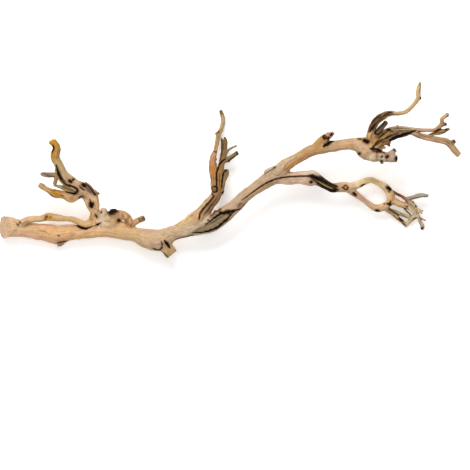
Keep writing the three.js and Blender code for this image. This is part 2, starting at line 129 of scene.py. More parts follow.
# The trunk: an old vine arm of pale dense wood, sawn at the butt and blasted clean of bark, with the stubs of
# pruned spurs, a small arch of wood and a long weathered scar. All other limbs grew out of it.
SAMPLE = 0.0012  # spacing of the points along a limb's axis
STRETCH_STEPS = 24  # points on the curve between two points of a route, before they are spaced evenly
LEAST_RADIUS = 0.4 * PLAN_STEP
LIMB_SIDES = 28
BUTT_CUT = plan(5.6, 227.1, 11.9)  # middle of the sawn face
BUTT_LEAN = math.radians(28)  # how far the sawn face leans back
BUTT_FACING = (-math.cos(BUTT_LEAN), 0.0, math.sin(BUTT_LEAN))

# Every limb is a route of points (x, y, height, radius) in plan steps, with its colours from root to tip.
TRUNK = {
    "arm": [
        (-5, 227, 12.4, 10.6), (7, 227, 11.9, 10.5), (15, 228, 11, 8.9), (28, 230, 9.6, 7.4),
        (45, 232.2, 8.3, 8.3), (57, 234.9, 8.7, 8.9), (70, 232.7, 9.6, 7.7), (85, 231.8, 11, 6.5),
        (105, 229.8, 12.8, 7), (122, 231.8, 14.6, 7.7), (135, 234.3, 16.2, 7.3), (148, 239, 17.6, 9.8),
        (160, 239.7, 18.6, 10.5), (172, 233.5, 19.8, 7.4), (182, 230.7, 21, 7.5), (197, 226.3, 23, 8.6),
        (210, 223.6, 24.6, 8.9), (221, 217.3, 26, 7.9), (234.5, 206.8, 27, 6.7), (245, 196.4, 27.6, 6),
        (258, 186.7, 28, 6.1), (270, 178.6, 28.2, 7.5), (281, 173.2, 28.4, 6),
    ],
    "belly_nub": [(57.6, 239.5, 8, 4.2), (59.8, 246.2, 8, 1.9)],
    "belly_flake": [(60, 240.8, 7.5, 3.4), (64.4, 243.4, 7.5, 1.8)],
    "grey_lump": [
        (102.6, 227, 14, 5.6), (103.2, 219.6, 18.4, 5.4), (103.6, 213, 21.5, 4.6), (104.6, 208.2, 23, 2.2),
    ],
    "hollow_stub": [(111, 225, 16, 6), (113.5, 218, 21, 5.6), (112.8, 211.6, 24.5, 5.1)],
    "arch": [
        (116, 214.6, 21.5, 4.6), (122, 214.9, 22.3, 4.2), (127, 217.6, 22, 3.9), (129.6, 223, 20, 3.6),
        (130, 229, 17, 3.4),
    ],
    "arch_foot": [
        (108, 226.5, 15, 5.5), (117, 224, 17, 4.6), (124, 225.6, 17.5, 3.6), (129, 227.5, 16, 4),
    ],
    "pruned_spur": [(130, 226.5, 18, 3), (137, 221.2, 19, 3.1), (144.6, 217.9, 20, 2.6)],
    "cut_stub": [(161, 240, 18.5, 6.5), (166, 247, 18.2, 6), (171.8, 254.2, 18, 5.8)],
    "healed_knob": [(237, 203, 29, 3.4), (241.6, 206.6, 30, 3.3)],
    "edge_flake": [
        (264.4, 173.4, 32.5, 2.4), (269.6, 170.2, 33.5, 2.7), (276, 166.6, 33.5, 1.2),
    ],
}
TRUNK_COLOURS = {
    "arm": [
        "#DFBD9A", "#DCB48B", "#D9AF80", "#DBB181", "#DAB386", "#CCAE8A", "#CDB093", "#C6B9A2", "#C1A58A",
        "#BFA485", "#BDA486",
    ],
    "belly_nub": ["#D4AD85", "#AD8970"],
    "belly_flake": ["#CFA580", "#9F7B67"],
    "grey_lump": ["#EDD1AA", "#DACAAC", "#C9BEA2"],
    "hollow_stub": ["#DAB587", "#D4AD85"],
    "arch": ["#DCB688", "#D2AA7C", "#C8A070", "#BC9060"],
    "arch_foot": ["#D7B183", "#D2A97A"],
    "pruned_spur": ["#C69C67", "#C4A078", "#8F7F57"],
    "cut_stub": ["#D7B185", "#C4A578", "#BD9E70"],
    "healed_knob": ["#CBA789", "#A57D67"],
    "edge_flake": ["#BDA98E", "#C2AF92"],
}
axes = []  # one entry a limb: its piece's number, axis points, radii, lengths, side directions and colours


def smooth_route(route):
    """Axis points in metres and radii, evenly spaced on the curve through a route's points."""
    knots = np.array([(*plan(*point[:3]), point[3] * PLAN_STEP) for point in route])
    ends = np.vstack([2 * knots[0] - knots[1], knots, 2 * knots[-1] - knots[-2]])
    t = np.linspace(0, 1, STRETCH_STEPS, endpoint=False)[:, None]
    run = [
        0.5 * (2 * b + (c - a) * t + (2 * a - 5 * b + 4 * c - d) * t**2 + (3 * b - a - 3 * c + d) * t**3)
        for a, b, c, d in zip(ends, ends[1:], ends[2:], ends[3:])
    ]
    fine = np.vstack(run + [knots[-1:]])
    length = np.concatenate([[0], np.cumsum(np.linalg.norm(np.diff(fine[:, :3], axis=0), axis=1))])
    even = np.linspace(0, length[-1], max(3, round(length[-1] / SAMPLE) + 1))
    placed = np.stack([np.interp(even, length, fine[:, i]) for i in range(4)], axis=1)
    return placed[:, :3], np.maximum(placed[:, 3], LEAST_RADIUS), even


def side_directions(points):
    """Two directions across the axis at each point, carried along it without twist."""
    ahead = np.gradient(points, axis=0)
    ahead /= np.linalg.norm(ahead, axis=1)[:, None]
    first = np.cross(ahead[0], (0.0, 0.0, 1.0))
    if np.linalg.norm(first) < 0.1:
        first = np.cross(ahead[0], (1.0, 0.0, 0.0))
    across = [first]
    for direction in ahead[1:]:
        across.append(across[-1] - direction * np.dot(across[-1], direction))
    across = np.array([a / np.linalg.norm(a) for a in across])
    return across, np.cross(ahead, across)


def start_tree(name, inputs):
    """A Geometry Nodes tree that takes and gives geometry, with named inputs, and those inputs' sockets."""
    tree = bpy.data.node_groups.new(name, "GeometryNodeTree")
    for label, kind in {"Geometry": "Geometry", **inputs}.items():
        tree.interface.new_socket(label, in_out="INPUT", socket_type="NodeSocket" + kind)
    tree.interface.new_socket("Geometry", in_out="OUTPUT", socket_type="NodeSocketGeometry")
    return tree, add_node(tree, "NodeGroupInput").outputs


def end_tree(tree, geometry, wood):
    """Ends a tree: what it made becomes real geometry and gets its wood."""
    real = add_node(tree, "GeometryNodeRealizeInstances", links={"Geometry": geometry}).outputs["Geometry"]
    dressed = add_node(tree, "GeometryNodeSetMaterial", links={"Geometry": real, "Material": wood})
    add_node(tree, "NodeGroupOutput", links={"Geometry": dressed.outputs["Geometry"]})
    return tree


def limb_tree():
    """Sweeps a round section along each limb's axis, as wide as the limb is there, and closes the ends."""
    tree, source = start_tree("limb", {"Sides": "Int", "Wood": "Material"})
    ring = add_node(
        tree, "GeometryNodeCurvePrimitiveCircle", links={"Resolution": source["Sides"], "Radius": 1.0}
    )
    girth = add_node(tree, "GeometryNodeInputRadius")
    swept = add_node(
        tree,
        "GeometryNodeCurveToMesh",
        links={
            "Curve": source["Geometry"],
            "Profile Curve": ring.outputs["Curve"],
            "Scale": girth.outputs["Radius"],
            "Fill Caps": True,
        },
    )
    return end_tree(tree, swept.outputs["Mesh"], source["Wood"])


def plain_mesh(obj):
    """The mesh of an object with its modifiers worked in."""
    depsgraph = bpy.context.evaluated_depsgraph_get()
    return bpy.data.meshes.new_from_object(obj.evaluated_get(depsgraph), depsgraph=depsgraph)


def set_inputs(modifier, values):
    """Sets a Geometry Nodes modifier's inputs by their sockets' identifiers."""
    for item in modifier.node_group.interface.items_tree:
        if item.in_out == "INPUT" and item.name in values:
            modifier[item.identifier] = values[item.name]


# Sizes of the wood's patterns in millimetres, across the grain. The finest lines of real vine wood are too
# fine to show and are drawn this coarse.
STREAKS_APART = 20 / 11  # 11 in 20 mm
LINES_APART = 10 / 11  # 11 in 10 mm
BLOTCHES_APART = 25 / 3  # 3 in 25 mm
HUES_APART = 5.0
GRAIN_STRETCH = (1.0, 1.0, 0.07)  # streaks and lines are drawn out along the grain
LINE_RELIEF = 0.0004
LINE_COLOUR = "#7A5A38"
PAINTED_SHADE_COLOUR = "#160C05"  # the black of the painted shade in cracks and hollows
SHEEN = 0.08


def blasted_wood(name, streak, streak_amount, bump, roughness):
    """Bare wood: a tint laid along each limb, streaked along the grain, darkened with painted shade where
    cracked or hollow.
    """
    wood = bpy.data.materials.new(name)
    wood.use_nodes = True
    tree = wood.node_tree
    shader = tree.nodes["Principled BSDF"]
    tint = add_node(tree, "ShaderNodeAttribute", {"attribute_name": "tint"}).outputs["Color"]
    grain = add_node(tree, "ShaderNodeAttribute", {"attribute_name": "grain"}).outputs["Vector"]
    painted_shade = add_node(tree, "ShaderNodeAttribute", {"attribute_name": "painted_shade"}).outputs["Fac"]
    long_grain = add_node(
        tree, "ShaderNodeVectorMath", {"operation": "MULTIPLY"}, {0: grain, 1: GRAIN_STRETCH}
    ).outputs[0]
    waves = {}
    for label, along, apart, detail, roughening, distortion in [
        ("streaks", long_grain, STREAKS_APART, 4.0, 0.6, 0.3),
        ("lines", long_grain, LINES_APART, 4.0, 0.7, 0.0),
        ("blotches", grain, BLOTCHES_APART, 3.0, 0.6, 0.0),
        ("hues", long_grain, HUES_APART, 2.0, 0.5, 0.0),
    ]:
        noise = {"Vector": along, "Scale": 1 / apart, "Detail": detail, "Roughness": roughening}
        noise["Distortion"] = distortion
        waves[label] = add_node(tree, "ShaderNodeTexNoise", links=noise).outputs["Fac"]
    light = add_node(
        tree,
        "ShaderNodeMapRange",
        links={"Value": waves["blotches"], "From Min": 0.3, "From Max": 0.7, "To Min": 0.84, "To Max": 1.12},
    )
    lit = add_node(
        tree, "ShaderNodeVectorMath", {"operation": "SCALE"}, {0: tint, "Scale": light.outputs["Result"]}
    )
    warmth = add_node(  # inputs 6 to 10 are a vector's value, the range it is in and the range it goes to
        tree,
        "ShaderNodeMapRange",
        {"data_type": "FLOAT_VECTOR"},
        {6: waves["hues"], 7: (0.35,) * 3, 8: (0.65,) * 3, 9: (0.97, 1.0, 0.86), 10: (1.05, 0.98, 1.08)},
    )
    colour = add_node(
        tree,
        "ShaderNodeVectorMath",
        {"operation": "MULTIPLY"},
        {0: lit.outputs[0], 1: warmth.outputs["Vector"]},
    ).outputs[0]
    for label, low, high, dark in [("streaks", 0.48, 0.68, streak), ("lines", 0.5, 0.72, LINE_COLOUR)]:
        amount = add_node(
            tree,
            "ShaderNodeMapRange",
            links={"Value": waves[label], "From Min": low, "From Max": high, "To Max": streak_amount},
        )
        colour = add_node(  # inputs 6 and 7 and output 2 of a mix are its colours
            tree,
            "ShaderNodeMix",
            {"data_type": "RGBA"},
            {"Factor": amount.outputs["Result"], 6: colour, 7: (*linear(dark), 1)},
        ).outputs[2]
    shade_mixed = add_node(
        tree,
        "ShaderNodeMix",
        {"data_type": "RGBA"},
        {"Factor": painted_shade, 6: colour, 7: (*linear(PAINTED_SHADE_COLOUR), 1)},
    )
    relief = add_node(
        tree,
        "ShaderNodeBump",
        links={"Strength": bump, "Distance": LINE_RELIEF, "Height": waves["lines"]},
    )
    tree.links.new(shade_mixed.outputs[2], shader.inputs["Base Color"])
    tree.links.new(relief.outputs["Normal"], shader.inputs["Normal"])
    shader.inputs["Roughness"].default_value = roughness
    shader.inputs["Specular IOR Level"].default_value = SHEEN
    return wood


# dense heartwood blasted clean: pale tan and matt, with soft darker streaks along the grain
pale_wood = blasted_wood("pale blasted vine wood", "#A87C54", 0.42, 0.6, 0.8)
sweep = limb_tree()
swept_limbs = []  # the swept mesh of each piece, before the skin is drawn over all of them
piece_names = []
piece_woods = {}
piece_marks = {}


def grow(piece, routes, colours, wood, marks):
    """Sweeps the limbs of a piece, and keeps their axes, colours and marks for the skin."""
    piece_names.append(piece)
    piece_woods[piece] = wood
    piece_marks[piece] = marks
    curve = bpy.data.curves.new(piece + " axes", "CURVE")
    curve.dimensions = "3D"
    for name, route in routes.items():
        points, radii, along = smooth_route(route)
        across, up = side_directions(points)
        stops = np.array([linear(c) for c in colours[name]])
        share = along / along[-1] * (len(stops) - 1)
        tint = np.stack([np.interp(share, range(len(stops)), stops[:, i]) for i in range(3)], axis=1)
        axes.append((len(piece_names) - 1, points, radii, along, across, up, tint))
        spline = curve.splines.new("POLY")
        spline.points.add(len(points) - 1)
        spline.points.foreach_set("co", np.hstack([points, np.ones((len(points), 1))]).ravel())
        spline.points.foreach_set("radius", radii)
    holder = bpy.data.objects.new(piece + " limbs", curve)
    bpy.context.collection.objects.link(holder)
    modifier = holder.modifiers.new("limb", "NODES")
    modifier.node_group = sweep
    set_inputs(modifier, {"Sides": LIMB_SIDES, "Wood": wood})
    swept_limbs.append(plain_mesh(holder))
    bpy.data.objects.remove(holder)


RAGGED = 0.32  # how far a mark's edge strays, as a share of its half width
PIT_RAGGED = 0.12
LEAST_RUN = 0.01  # plan steps, because a mark's path needs some length


def crack(path, depth, dark=1.0):
    """An open crack or groove along plan points (x, y, half width), with its depth in plan steps."""
    return {"path": np.array(path, float), "depth": depth, "dark": dark, "ragged": RAGGED}


def pit(x, y, half_length, half_width, turn, depth, dark=1.0):
    """A hollow with an oval mouth, turned by degrees from the picture's right towards its top."""
    a = math.radians(turn)
    reach = max(half_length - half_width, LEAST_RUN)
    run = (reach * math.cos(a), -reach * math.sin(a))
    ends = [(x - run[0], y - run[1], half_width), (x + run[0], y + run[1], half_width)]
    return {"path": np.array(ends), "depth": depth, "dark": dark, "ragged": PIT_RAGGED}


def bulge(x, y, radius, height):
    """A knob that stands out of the wood by a height in plan steps."""
    ends = [(x, y, radius), (x + LEAST_RUN, y, radius)]
    return {"path": np.array(ends), "depth": -height, "dark": 0.0, "ragged": RAGGED}


def stain(path, colour, strength=0.8, edge=1.0):
    """A patch of other colour along plan points (x, y, half width), with a soft edge as a share of that."""
    soft = {"colour": colour, "edge": edge}
    return {"path": np.array(path, float), "depth": 0.0, "dark": strength, "ragged": RAGGED, **soft}


TRUNK_MARKS = [
    # the scar: a grey weathered hollow with a black lip below, and above it a black cleft of painted shadow
    # under its upper lip
    stain(
        [(194, 231, 1.5), (203, 229, 4), (214, 224.5, 5.4), (224, 218.4, 5), (233, 211.6, 2)],
        "#9E8A74", 0.95,
    ),
    stain([(205, 227, 1), (216, 221, 1.2), (225, 215, 1)], "#6E5C46", 0.6),
    stain([(203, 229.6, 0.3), (213, 226, 0.5), (223, 219.6, 0.3)], "#5E4C38", 0.7),
    stain([(210, 223.6, 0.3), (218, 218.4, 0.6), (227, 213.6, 0.4)], "#4A3A28", 0.7),
    stain([(214, 228, 0.3), (221, 223.4, 0.5), (228, 216.4, 0.3)], "#6E5A44", 0.7),
    crack([(197, 231, 1.5), (206, 228.6, 4), (215, 224.4, 5), (224, 218.4, 4.6), (232, 212, 2)], 2.6, 0.0),
    crack(
        [
            (192, 232.8, 0.3), (200, 232.6, 0.8), (208, 231.3, 1.2), (218, 227, 1.4), (227, 219.4, 1.3),
            (233, 212, 0.6),
        ],
        2.2,
    ),
    # the black cleft: painted shadow under the scar's upper lip
    crack(
        [
            (206, 224.6, 0.4), (214.3, 218.2, 0.9), (221.4, 213.2, 1.6), (229, 212, 2.3), (234, 210.8, 1.2),
            (240.4, 208.9, 0.4),
        ],
        3.4,
    ),
    pit(208.2, 220.4, 1.0, 0.8, 40, 1.6),
    crack([(211, 216.4, 0.4), (215.6, 212.4, 0.7), (221, 210, 0.4)], 1.4, 0.75),
    # the long crack that opens along the rising stem
    crack(
        [
            (241.4, 200.8, 0.3), (247, 196.6, 0.45), (254, 191.4, 0.6), (261.7, 186, 0.75), (268, 182.4, 0.8),
            (275, 179.3, 0.8), (283, 177.6, 0.8),
        ],
        2.2, 0.92,
    ),
    stain([(243, 201.4, 0.8), (254, 193, 1.6), (266, 185.4, 1.6), (276, 181, 1.4)], "#B08A62", 0.45),
    # the hollow stub, the holes of the arch and the slot of the cut stub
    bulge(112.4, 209.8, 4.0, 1.2),
    pit(112.8, 211.3, 6.4, 4.2, 22, 1.2),
    pit(118.9, 220.5, 1.6, 1.4, 60, 3.0, 0.9),
    stain([(126.2, 221.6, 1.7), (126.8, 222.6, 1.7)], "#8E6828", 0.8),
    stain([(118, 220.6, 2.2), (120.4, 220.8, 1.8)], "#86592E", 0.75),
    stain([(130.8, 226, 1.4), (130.9, 226.6, 1.4)], "#8A6638", 0.7),
    pit(101.3, 212.4, 1.3, 0.9, 60, 1.6, 0.85),
    bulge(105.6, 212.6, 2.0, 0.8),
    bulge(107.6, 219.6, 2.8, 1.2),
    bulge(106.6, 224.4, 2.6, 1.0),
    stain([(100, 220, 3.6), (102, 214, 4), (104, 209, 3)], "#D2BEA2", 0.5),
    stain([(106.6, 214, 2.4), (107.6, 222, 3)], "#D8BC96", 0.7),
    crack([(164.2, 240.2, 0.5), (166.6, 243.2, 1.5), (168.6, 246.2, 1.3), (170.3, 248.4, 0.4)], 4.0),
    crack(
        [(161.2, 241.2, 0.4), (162.4, 244.4, 0.8), (161.8, 248, 0.8), (158.8, 250.4, 0.9), (153, 248.2, 0.5)],
        1.6, 0.9,
    ),
    crack([(160.4, 250.8, 0.5), (164, 253.8, 0.8), (167.4, 256.4, 0.7)], 0.8, 0.75),
    stain([(164, 247, 3), (169, 253, 4)], "#BB9A6C", 0.6),
    crack([(175, 239.4, 0.4), (184, 237.2, 0.8), (193.4, 234.9, 0.6)], 0.8, 0.8),
    crack(
        [
            (76.4, 225.2, 0.5), (80.6, 227.4, 1.5), (84.8, 228.7, 1.2), (90, 227.3, 0.6), (95.4, 226, 0.7),
            (97.2, 224.8, 1.2), (100.6, 222.8, 0.5),
        ],
        2.4,
    ),
    stain([(6.4, 228.2, 0.9), (6.8, 228.4, 0.9)], "#B07A48", 0.7),
    pit(17.9, 224.7, 1.5, 0.8, -45, 1.2),
    pit(20, 222.6, 1.3, 0.7, -50, 1.2),
    stain([(26.2, 223, 1.9), (27.8, 222.3, 1.8)], "#A8703C", 0.8),
    stain([(22.6, 225.2, 0.9), (24.4, 224.9, 0.9)], "#B8884C", 0.7),
    pit(58.6, 235.8, 1.3, 0.7, -35, 0.8, 0.8),
    stain([(37.6, 230.6, 0.5), (44.6, 231.5, 0.9), (47, 233.2, 0.7), (49.2, 234.3, 0.5)], "#A87638", 0.7),
    stain([(134, 222.6, 2), (137.4, 221.2, 2)], "#C09070", 0.6),
    stain([(140.6, 219.8, 2), (144.6, 217.8, 2.8)], "#7E7052", 0.85),
    crack([(138.6, 218.6, 0.5), (140, 221.6, 0.6)], 0.5, 0.6),
    pit(143, 218.4, 1.8, 0.8, 30, 0.8, 0.7),
    crack([(144.4, 215.4, 0.5), (146.4, 217.4, 0.7), (145.6, 219.6, 0.5)], 0.5, 0.85),
    pit(274.6, 167.4, 1.4, 0.7, 25, 1.0, 0.9),
    crack([(264.6, 173.8, 0.3), (270, 170.8, 0.5), (275, 168.2, 0.5)], 0.8, 0.6),
    stain([(58, 244, 3), (64, 243, 2.4)], "#A88468", 0.7),
    crack([(57.4, 242.8, 0.5), (61, 242, 0.8), (67, 240.9, 0.6)], 0.8, 0.85),
    pit(61, 245.8, 2.4, 0.8, 25, 0.5, 0.85),
    stain([(191, 221.4, 0.9), (191.2, 221.5, 0.9)], "#8A5A2C", 0.8),
    stain([(241.4, 206, 3), (241.6, 206.4, 3)], "#A07860", 0.9),
    # curls of bark along the upper lip of the scar
    bulge(215.6, 212.4, 2.2, 1.2),
    bulge(220.4, 209.8, 2.0, 1.0),
    bulge(211.4, 216.6, 1.8, 0.9),
    stain([(211, 217, 1.4), (215.6, 212.6, 1.8), (221, 209.8, 1.4)], "#7A5C3C", 0.8),
    # ragged wood of the arch
    bulge(119.6, 214.2, 2.2, 1.0),
    bulge(126.4, 217.4, 2.0, 1.0),
    bulge(130.2, 223.6, 2.0, 0.9),
    crack([(122.4, 213.6, 0.4), (123.4, 216, 0.7), (123, 217.6, 0.5)], 0.9, 0.5),
    stain([(121.4, 213, 1.4), (124, 213.4, 1.4)], "#B89480", 0.6),
    stain([(127.4, 215.4, 1.3), (129, 217, 1.2)], "#94785E", 0.7),
    stain([(126, 219.4, 1.2), (128.6, 224, 1.4)], "#A87838", 0.6),
    crack([(238.2, 207.4, 0.4), (239, 204.6, 0.6), (241.6, 203, 0.5)], 0.8, 0.6),
]
grow("trunk", TRUNK, TRUNK_COLOURS, pale_wood, TRUNK_MARKS)


# The side branch: a thin shoot of the same pale wood beside the trunk near the butt, with an amber knot on
# it. It grew out of the trunk and back into it.
SIDE_BRANCH = {
    "shoot": [
        (14, 226, 15, 3.2), (19, 224, 17, 3.2), (25, 221.8, 17.5, 3.5), (33, 218.9, 16.5, 3.2),
        (41, 218.7, 15.5, 2.9), (48, 216.5, 15, 4.1), (57, 217.6, 14.5, 3.2), (65, 218.7, 14.5, 2.5),
        (72, 219.5, 15, 2.8), (78, 221.7, 15.6, 3.2), (83.6, 224.2, 16, 3.3), (89.4, 223.2, 16.4, 3.8),
        (95, 219.4, 17, 3.4),
    ],
}
SIDE_COLOURS = {
    "shoot": ["#CEAD80", "#D2B389", "#CEAF80", "#C9AA7C", "#D3AF7D", "#D5B281", "#D3AD81", "#D0AB81"],
}
SIDE_MARKS = [
    pit(17.9, 224.7, 1.5, 0.8, -45, 1.2),
    pit(20, 222.6, 1.3, 0.7, -50, 1.2),
    crack([(22, 224.6, 0.4), (24.6, 222.4, 0.5)], 0.8, 0.5),
    stain([(26.2, 223, 1.9), (27.8, 222.3, 1.8)], "#A8703C", 0.8),
    stain([(46.6, 217.4, 2.2), (51, 216.6, 1.6)], "#CB9434", 0.9),
    stain([(45.2, 218.8, 1.6), (46.8, 216.4, 1.3)], "#6E4412", 0.95),
    stain([(49.6, 217.8, 0.8), (50.8, 216.8, 0.8)], "#8A5A18", 0.85),
    crack(
        [
            (76.5, 224.8, 0.5), (81, 227, 0.9), (85, 228.4, 0.8), (90, 227.3, 0.6), (95.4, 226, 0.7),
            (97.2, 224.8, 1.2),
        ],
        1.4,
    ),
]
grow("side_branch", SIDE_BRANCH, SIDE_COLOURS, pale_wood, SIDE_MARKS)


# The left branch: a short twisted stem of grey weathered wood with an eye-shaped hole. It grew out of the
# trunk and opens into a hooked prong with amber knots, a lower prong, and grey strands and twigs.
LEFT_BRANCH = {
    "stem": [
        (95, 227, 12.5, 4.8), (94, 221.5, 16.5, 4.8), (94.2, 216, 20.5, 3.8), (94.8, 211.5, 23.5, 4.5),
        (92.9, 205, 27, 6.7), (91.2, 199, 30.5, 7.6), (89, 193, 33.5, 6.8),
    ],
    "hooked_prong": [
        (90, 195, 33, 6.6), (83, 189.2, 37, 6), (75.8, 184.8, 40, 5.4), (70, 180.2, 43, 4.9),
        (65.8, 176, 45.5, 4.3), (62.2, 171, 47.5, 4), (58.9, 164.6, 50.5, 4.2), (55.4, 157.5, 53.6, 4.2),
        (56.4, 152, 56, 4.3), (57, 147.8, 57.6, 3.9), (54.4, 142.8, 59, 3.8), (53, 140.2, 60, 2.5),
    ],
    "hook": [(54, 142.6, 59.2, 2.8), (50.2, 143.2, 59, 2.1)],
    "outer_strand": [
        (58.5, 163, 50, 2), (57, 171, 46.5, 2.2), (59.2, 176.6, 43.5, 2), (62.6, 181.8, 40, 1.8),
        (67.4, 186.4, 36.4, 1.9), (72.6, 189, 34, 2),
    ],
    "grey_twig": [
        (57.4, 174.8, 44, 2.2), (50, 175.2, 42.6, 2.6), (44, 174.6, 41.4, 2.3), (40.4, 174.5, 40.6, 0.8),
    ],
    "twig_point": [(46, 174, 42, 1.5), (41.8, 172.6, 41.4, 0.7)],
    "short_twig": [(57.4, 174.5, 44, 2.1), (54.6, 184.4, 40, 1.9)],
    "grey_strand": [
        (84, 192.5, 33, 3.4), (77, 191.6, 32.5, 3.1), (68, 189.4, 33, 2.6), (61.4, 186.8, 34.5, 1.9),
        (53.4, 185.4, 35.5, 0.8),
    ],
    "lower_prong": [
        (90, 198, 31, 6), (82, 195, 32, 3.1), (77, 196.2, 32, 3.3), (71.2, 197.8, 31.5, 4.3),
        (64.6, 195, 31, 3.5), (58, 193.6, 30.8, 4), (54, 192.8, 30.5, 4), (49.4, 190.6, 30, 2.8),
        (45.4, 188.4, 30, 2.6), (42, 186.2, 30, 2.9), (38.9, 184.6, 30, 2.2),
    ],
    "flake": [(84.6, 182.8, 38.5, 1.6), (89.4, 188, 38.8, 2.8), (95.4, 194, 36, 1.9)],
    "spur": [(93, 196, 32, 3.4), (97.4, 191.6, 33, 2.6)],
    "spur_nub": [(96.6, 193.4, 32, 1.8), (99.6, 193.4, 32, 1.2)],
}
LEFT_COLOURS = {
    "stem": ["#EFC593", "#EEC593", "#EFC999", "#EFC999", "#EEC593"],
    "hooked_prong": [
        "#D4AF88", "#D2AF88", "#D0AF88", "#CCAD84", "#C9AD84", "#C7AB84", "#C09961", "#C09042", "#C2903A",
    ],
    "hook": ["#C49035", "#AF8035"],
    "outer_strand": ["#DBBA80", "#BB9A5B", "#AF8D56", "#AF936A"],
    "grey_twig": ["#8E7A5C", "#95836C", "#9F8F82", "#887A71"],
    "twig_point": ["#AC9D8E", "#A19283"],
    "short_twig": ["#A7845E", "#B5916E"],
    "grey_strand": ["#A89469", "#AC9966", "#B19E76", "#C6B997"],
    "lower_prong": ["#D6B18D", "#D6B18D", "#D2AD86", "#CCA774", "#CC994C", "#CEA972", "#BA9D67"],
    "flake": ["#938269", "#8A7861", "#93826B"],
    "spur": ["#D6BC9D", "#C5AF96"],
    "spur_nub": ["#8A7050", "#2E2012"],
}
LEFT_MARKS = [
    pit(91.8, 205.2, 3.4, 2.5, 75, 4.0),
    crack([(89.8, 199.2, 0.4), (90.6, 201.8, 0.9), (91, 203.4, 1.6)], 2.0),
    stain([(90.2, 204.2, 1.0), (90.6, 206.4, 1.0)], "#8A6A52", 0.6),
    crack(
        [(85, 228.4, 0.8), (90, 227.3, 0.6), (95.4, 226, 0.7), (97.2, 224.8, 1.2), (100.6, 222.8, 0.5)],
        1.4,
    ),
    crack([(95.2, 213.6, 0.4), (96.2, 215.8, 1.1), (97.2, 218.2, 0.6)], 2.2, 0.85),
    stain([(92, 217, 1.6), (92.6, 219, 1.6)], "#C08030", 0.6),
    crack(
        [
            (56.5, 164.6, 0.4), (57.8, 169.6, 0.9), (59.4, 175.6, 1.4), (62.2, 180, 1.3), (66.3, 184.7, 0.9),
            (73, 186.6, 0.9), (77.1, 188.9, 1.1), (77.9, 191.4, 1.2), (74.6, 193.8, 1), (66.3, 191.9, 0.5),
        ],
        2.6,
    ),
    stain([(58, 170, 1.8), (60.5, 177, 2)], "#6E4A20", 0.7),
    pit(70.6, 181.6, 2.6, 1.7, -35, 1.8),
    pit(73.6, 179.7, 1.5, 1.2, 30, 1.4),
    pit(84.4, 185.6, 2.7, 2.1, -20, 2.4),
    crack([(79.4, 185.8, 0.4), (81.4, 187.6, 1), (84, 190, 0.6)], 1.6),
    crack([(86.6, 184, 0.4), (90.6, 188.6, 0.9), (95.6, 194.9, 0.8)], 1.6),
    stain([(83, 184, 2), (88, 188, 3.4), (95, 194, 2)], "#7A6650", 0.85),
    crack([(86.4, 187.4, 0.3), (91.4, 193.4, 0.4)], 0.6, 0.6),
    crack([(79, 198.4, 0.3), (80.6, 196.6, 0.7), (82.4, 196.4, 0.7), (84.2, 197.6, 0.3)], 1.4, 0.85),
    pit(51.9, 150.6, 1.5, 1.1, 60, 2.0),
    bulge(50.6, 143, 1.8, 0.7),
    bulge(90, 218, 2.6, 0.6),
    bulge(59.2, 150, 2.0, 0.8),
    bulge(56.6, 193, 2.4, 0.8),
    bulge(71.6, 198.4, 2.6, 0.8),
    bulge(41.4, 186, 1.8, 0.5),
    bulge(47.6, 175, 1.8, 0.5),
    crack([(53.2, 145.2, 0.6), (54.2, 147.8, 1.1), (53.6, 150.4, 1.3), (52.4, 152.4, 0.8)], 1.4),
    pit(99.3, 193.4, 1.2, 1.0, 60, 0.4, 0.95),
    stain(
        [(54.8, 141, 1.6), (53, 143.4, 2), (54.4, 148, 1.7), (54.2, 153, 2), (53.6, 157, 1.4)],
        "#CE8E1E", 0.85,
    ),
    stain([(58.8, 147.6, 1.5), (59.4, 152, 1.5)], "#A8886A", 0.7),
    stain([(54, 192.4, 2.4), (59, 194.4, 2.6)], "#CB8E20", 0.8),
    crack([(61.4, 195.2, 0.5), (63.4, 196, 0.6)], 0.8, 0.8),
    crack([(46.4, 191.4, 0.4), (50.4, 195, 0.6), (53.6, 197, 0.4)], 0.7, 0.7),
    crack([(50.6, 190.6, 0.3), (54, 191.2, 0.5), (56, 190.6, 0.3)], 0.5, 0.5),
    stain([(71.2, 198.3, 1.4), (72.2, 198.6, 1.4)], "#A8702C", 0.7),
    crack([(43.6, 173.4, 0.4), (50, 176.4, 0.5), (54, 176.8, 0.5)], 0.6, 0.6),
    crack([(62, 187, 0.3), (68.6, 189.6, 0.5), (75, 191.4, 0.3)], 0.5, 0.55),
    pit(38.4, 184.2, 1.0, 0.7, 40, 0.4, 0.5),
]
# wood that weathered before it was blasted: greyer and duller, with strong brown streaks
grey_wood = blasted_wood("grey weathered vine wood", "#6E5638", 0.6, 0.7, 0.88)
grow("left_branch", LEFT_BRANCH, LEFT_COLOURS, grey_wood, LEFT_MARKS)


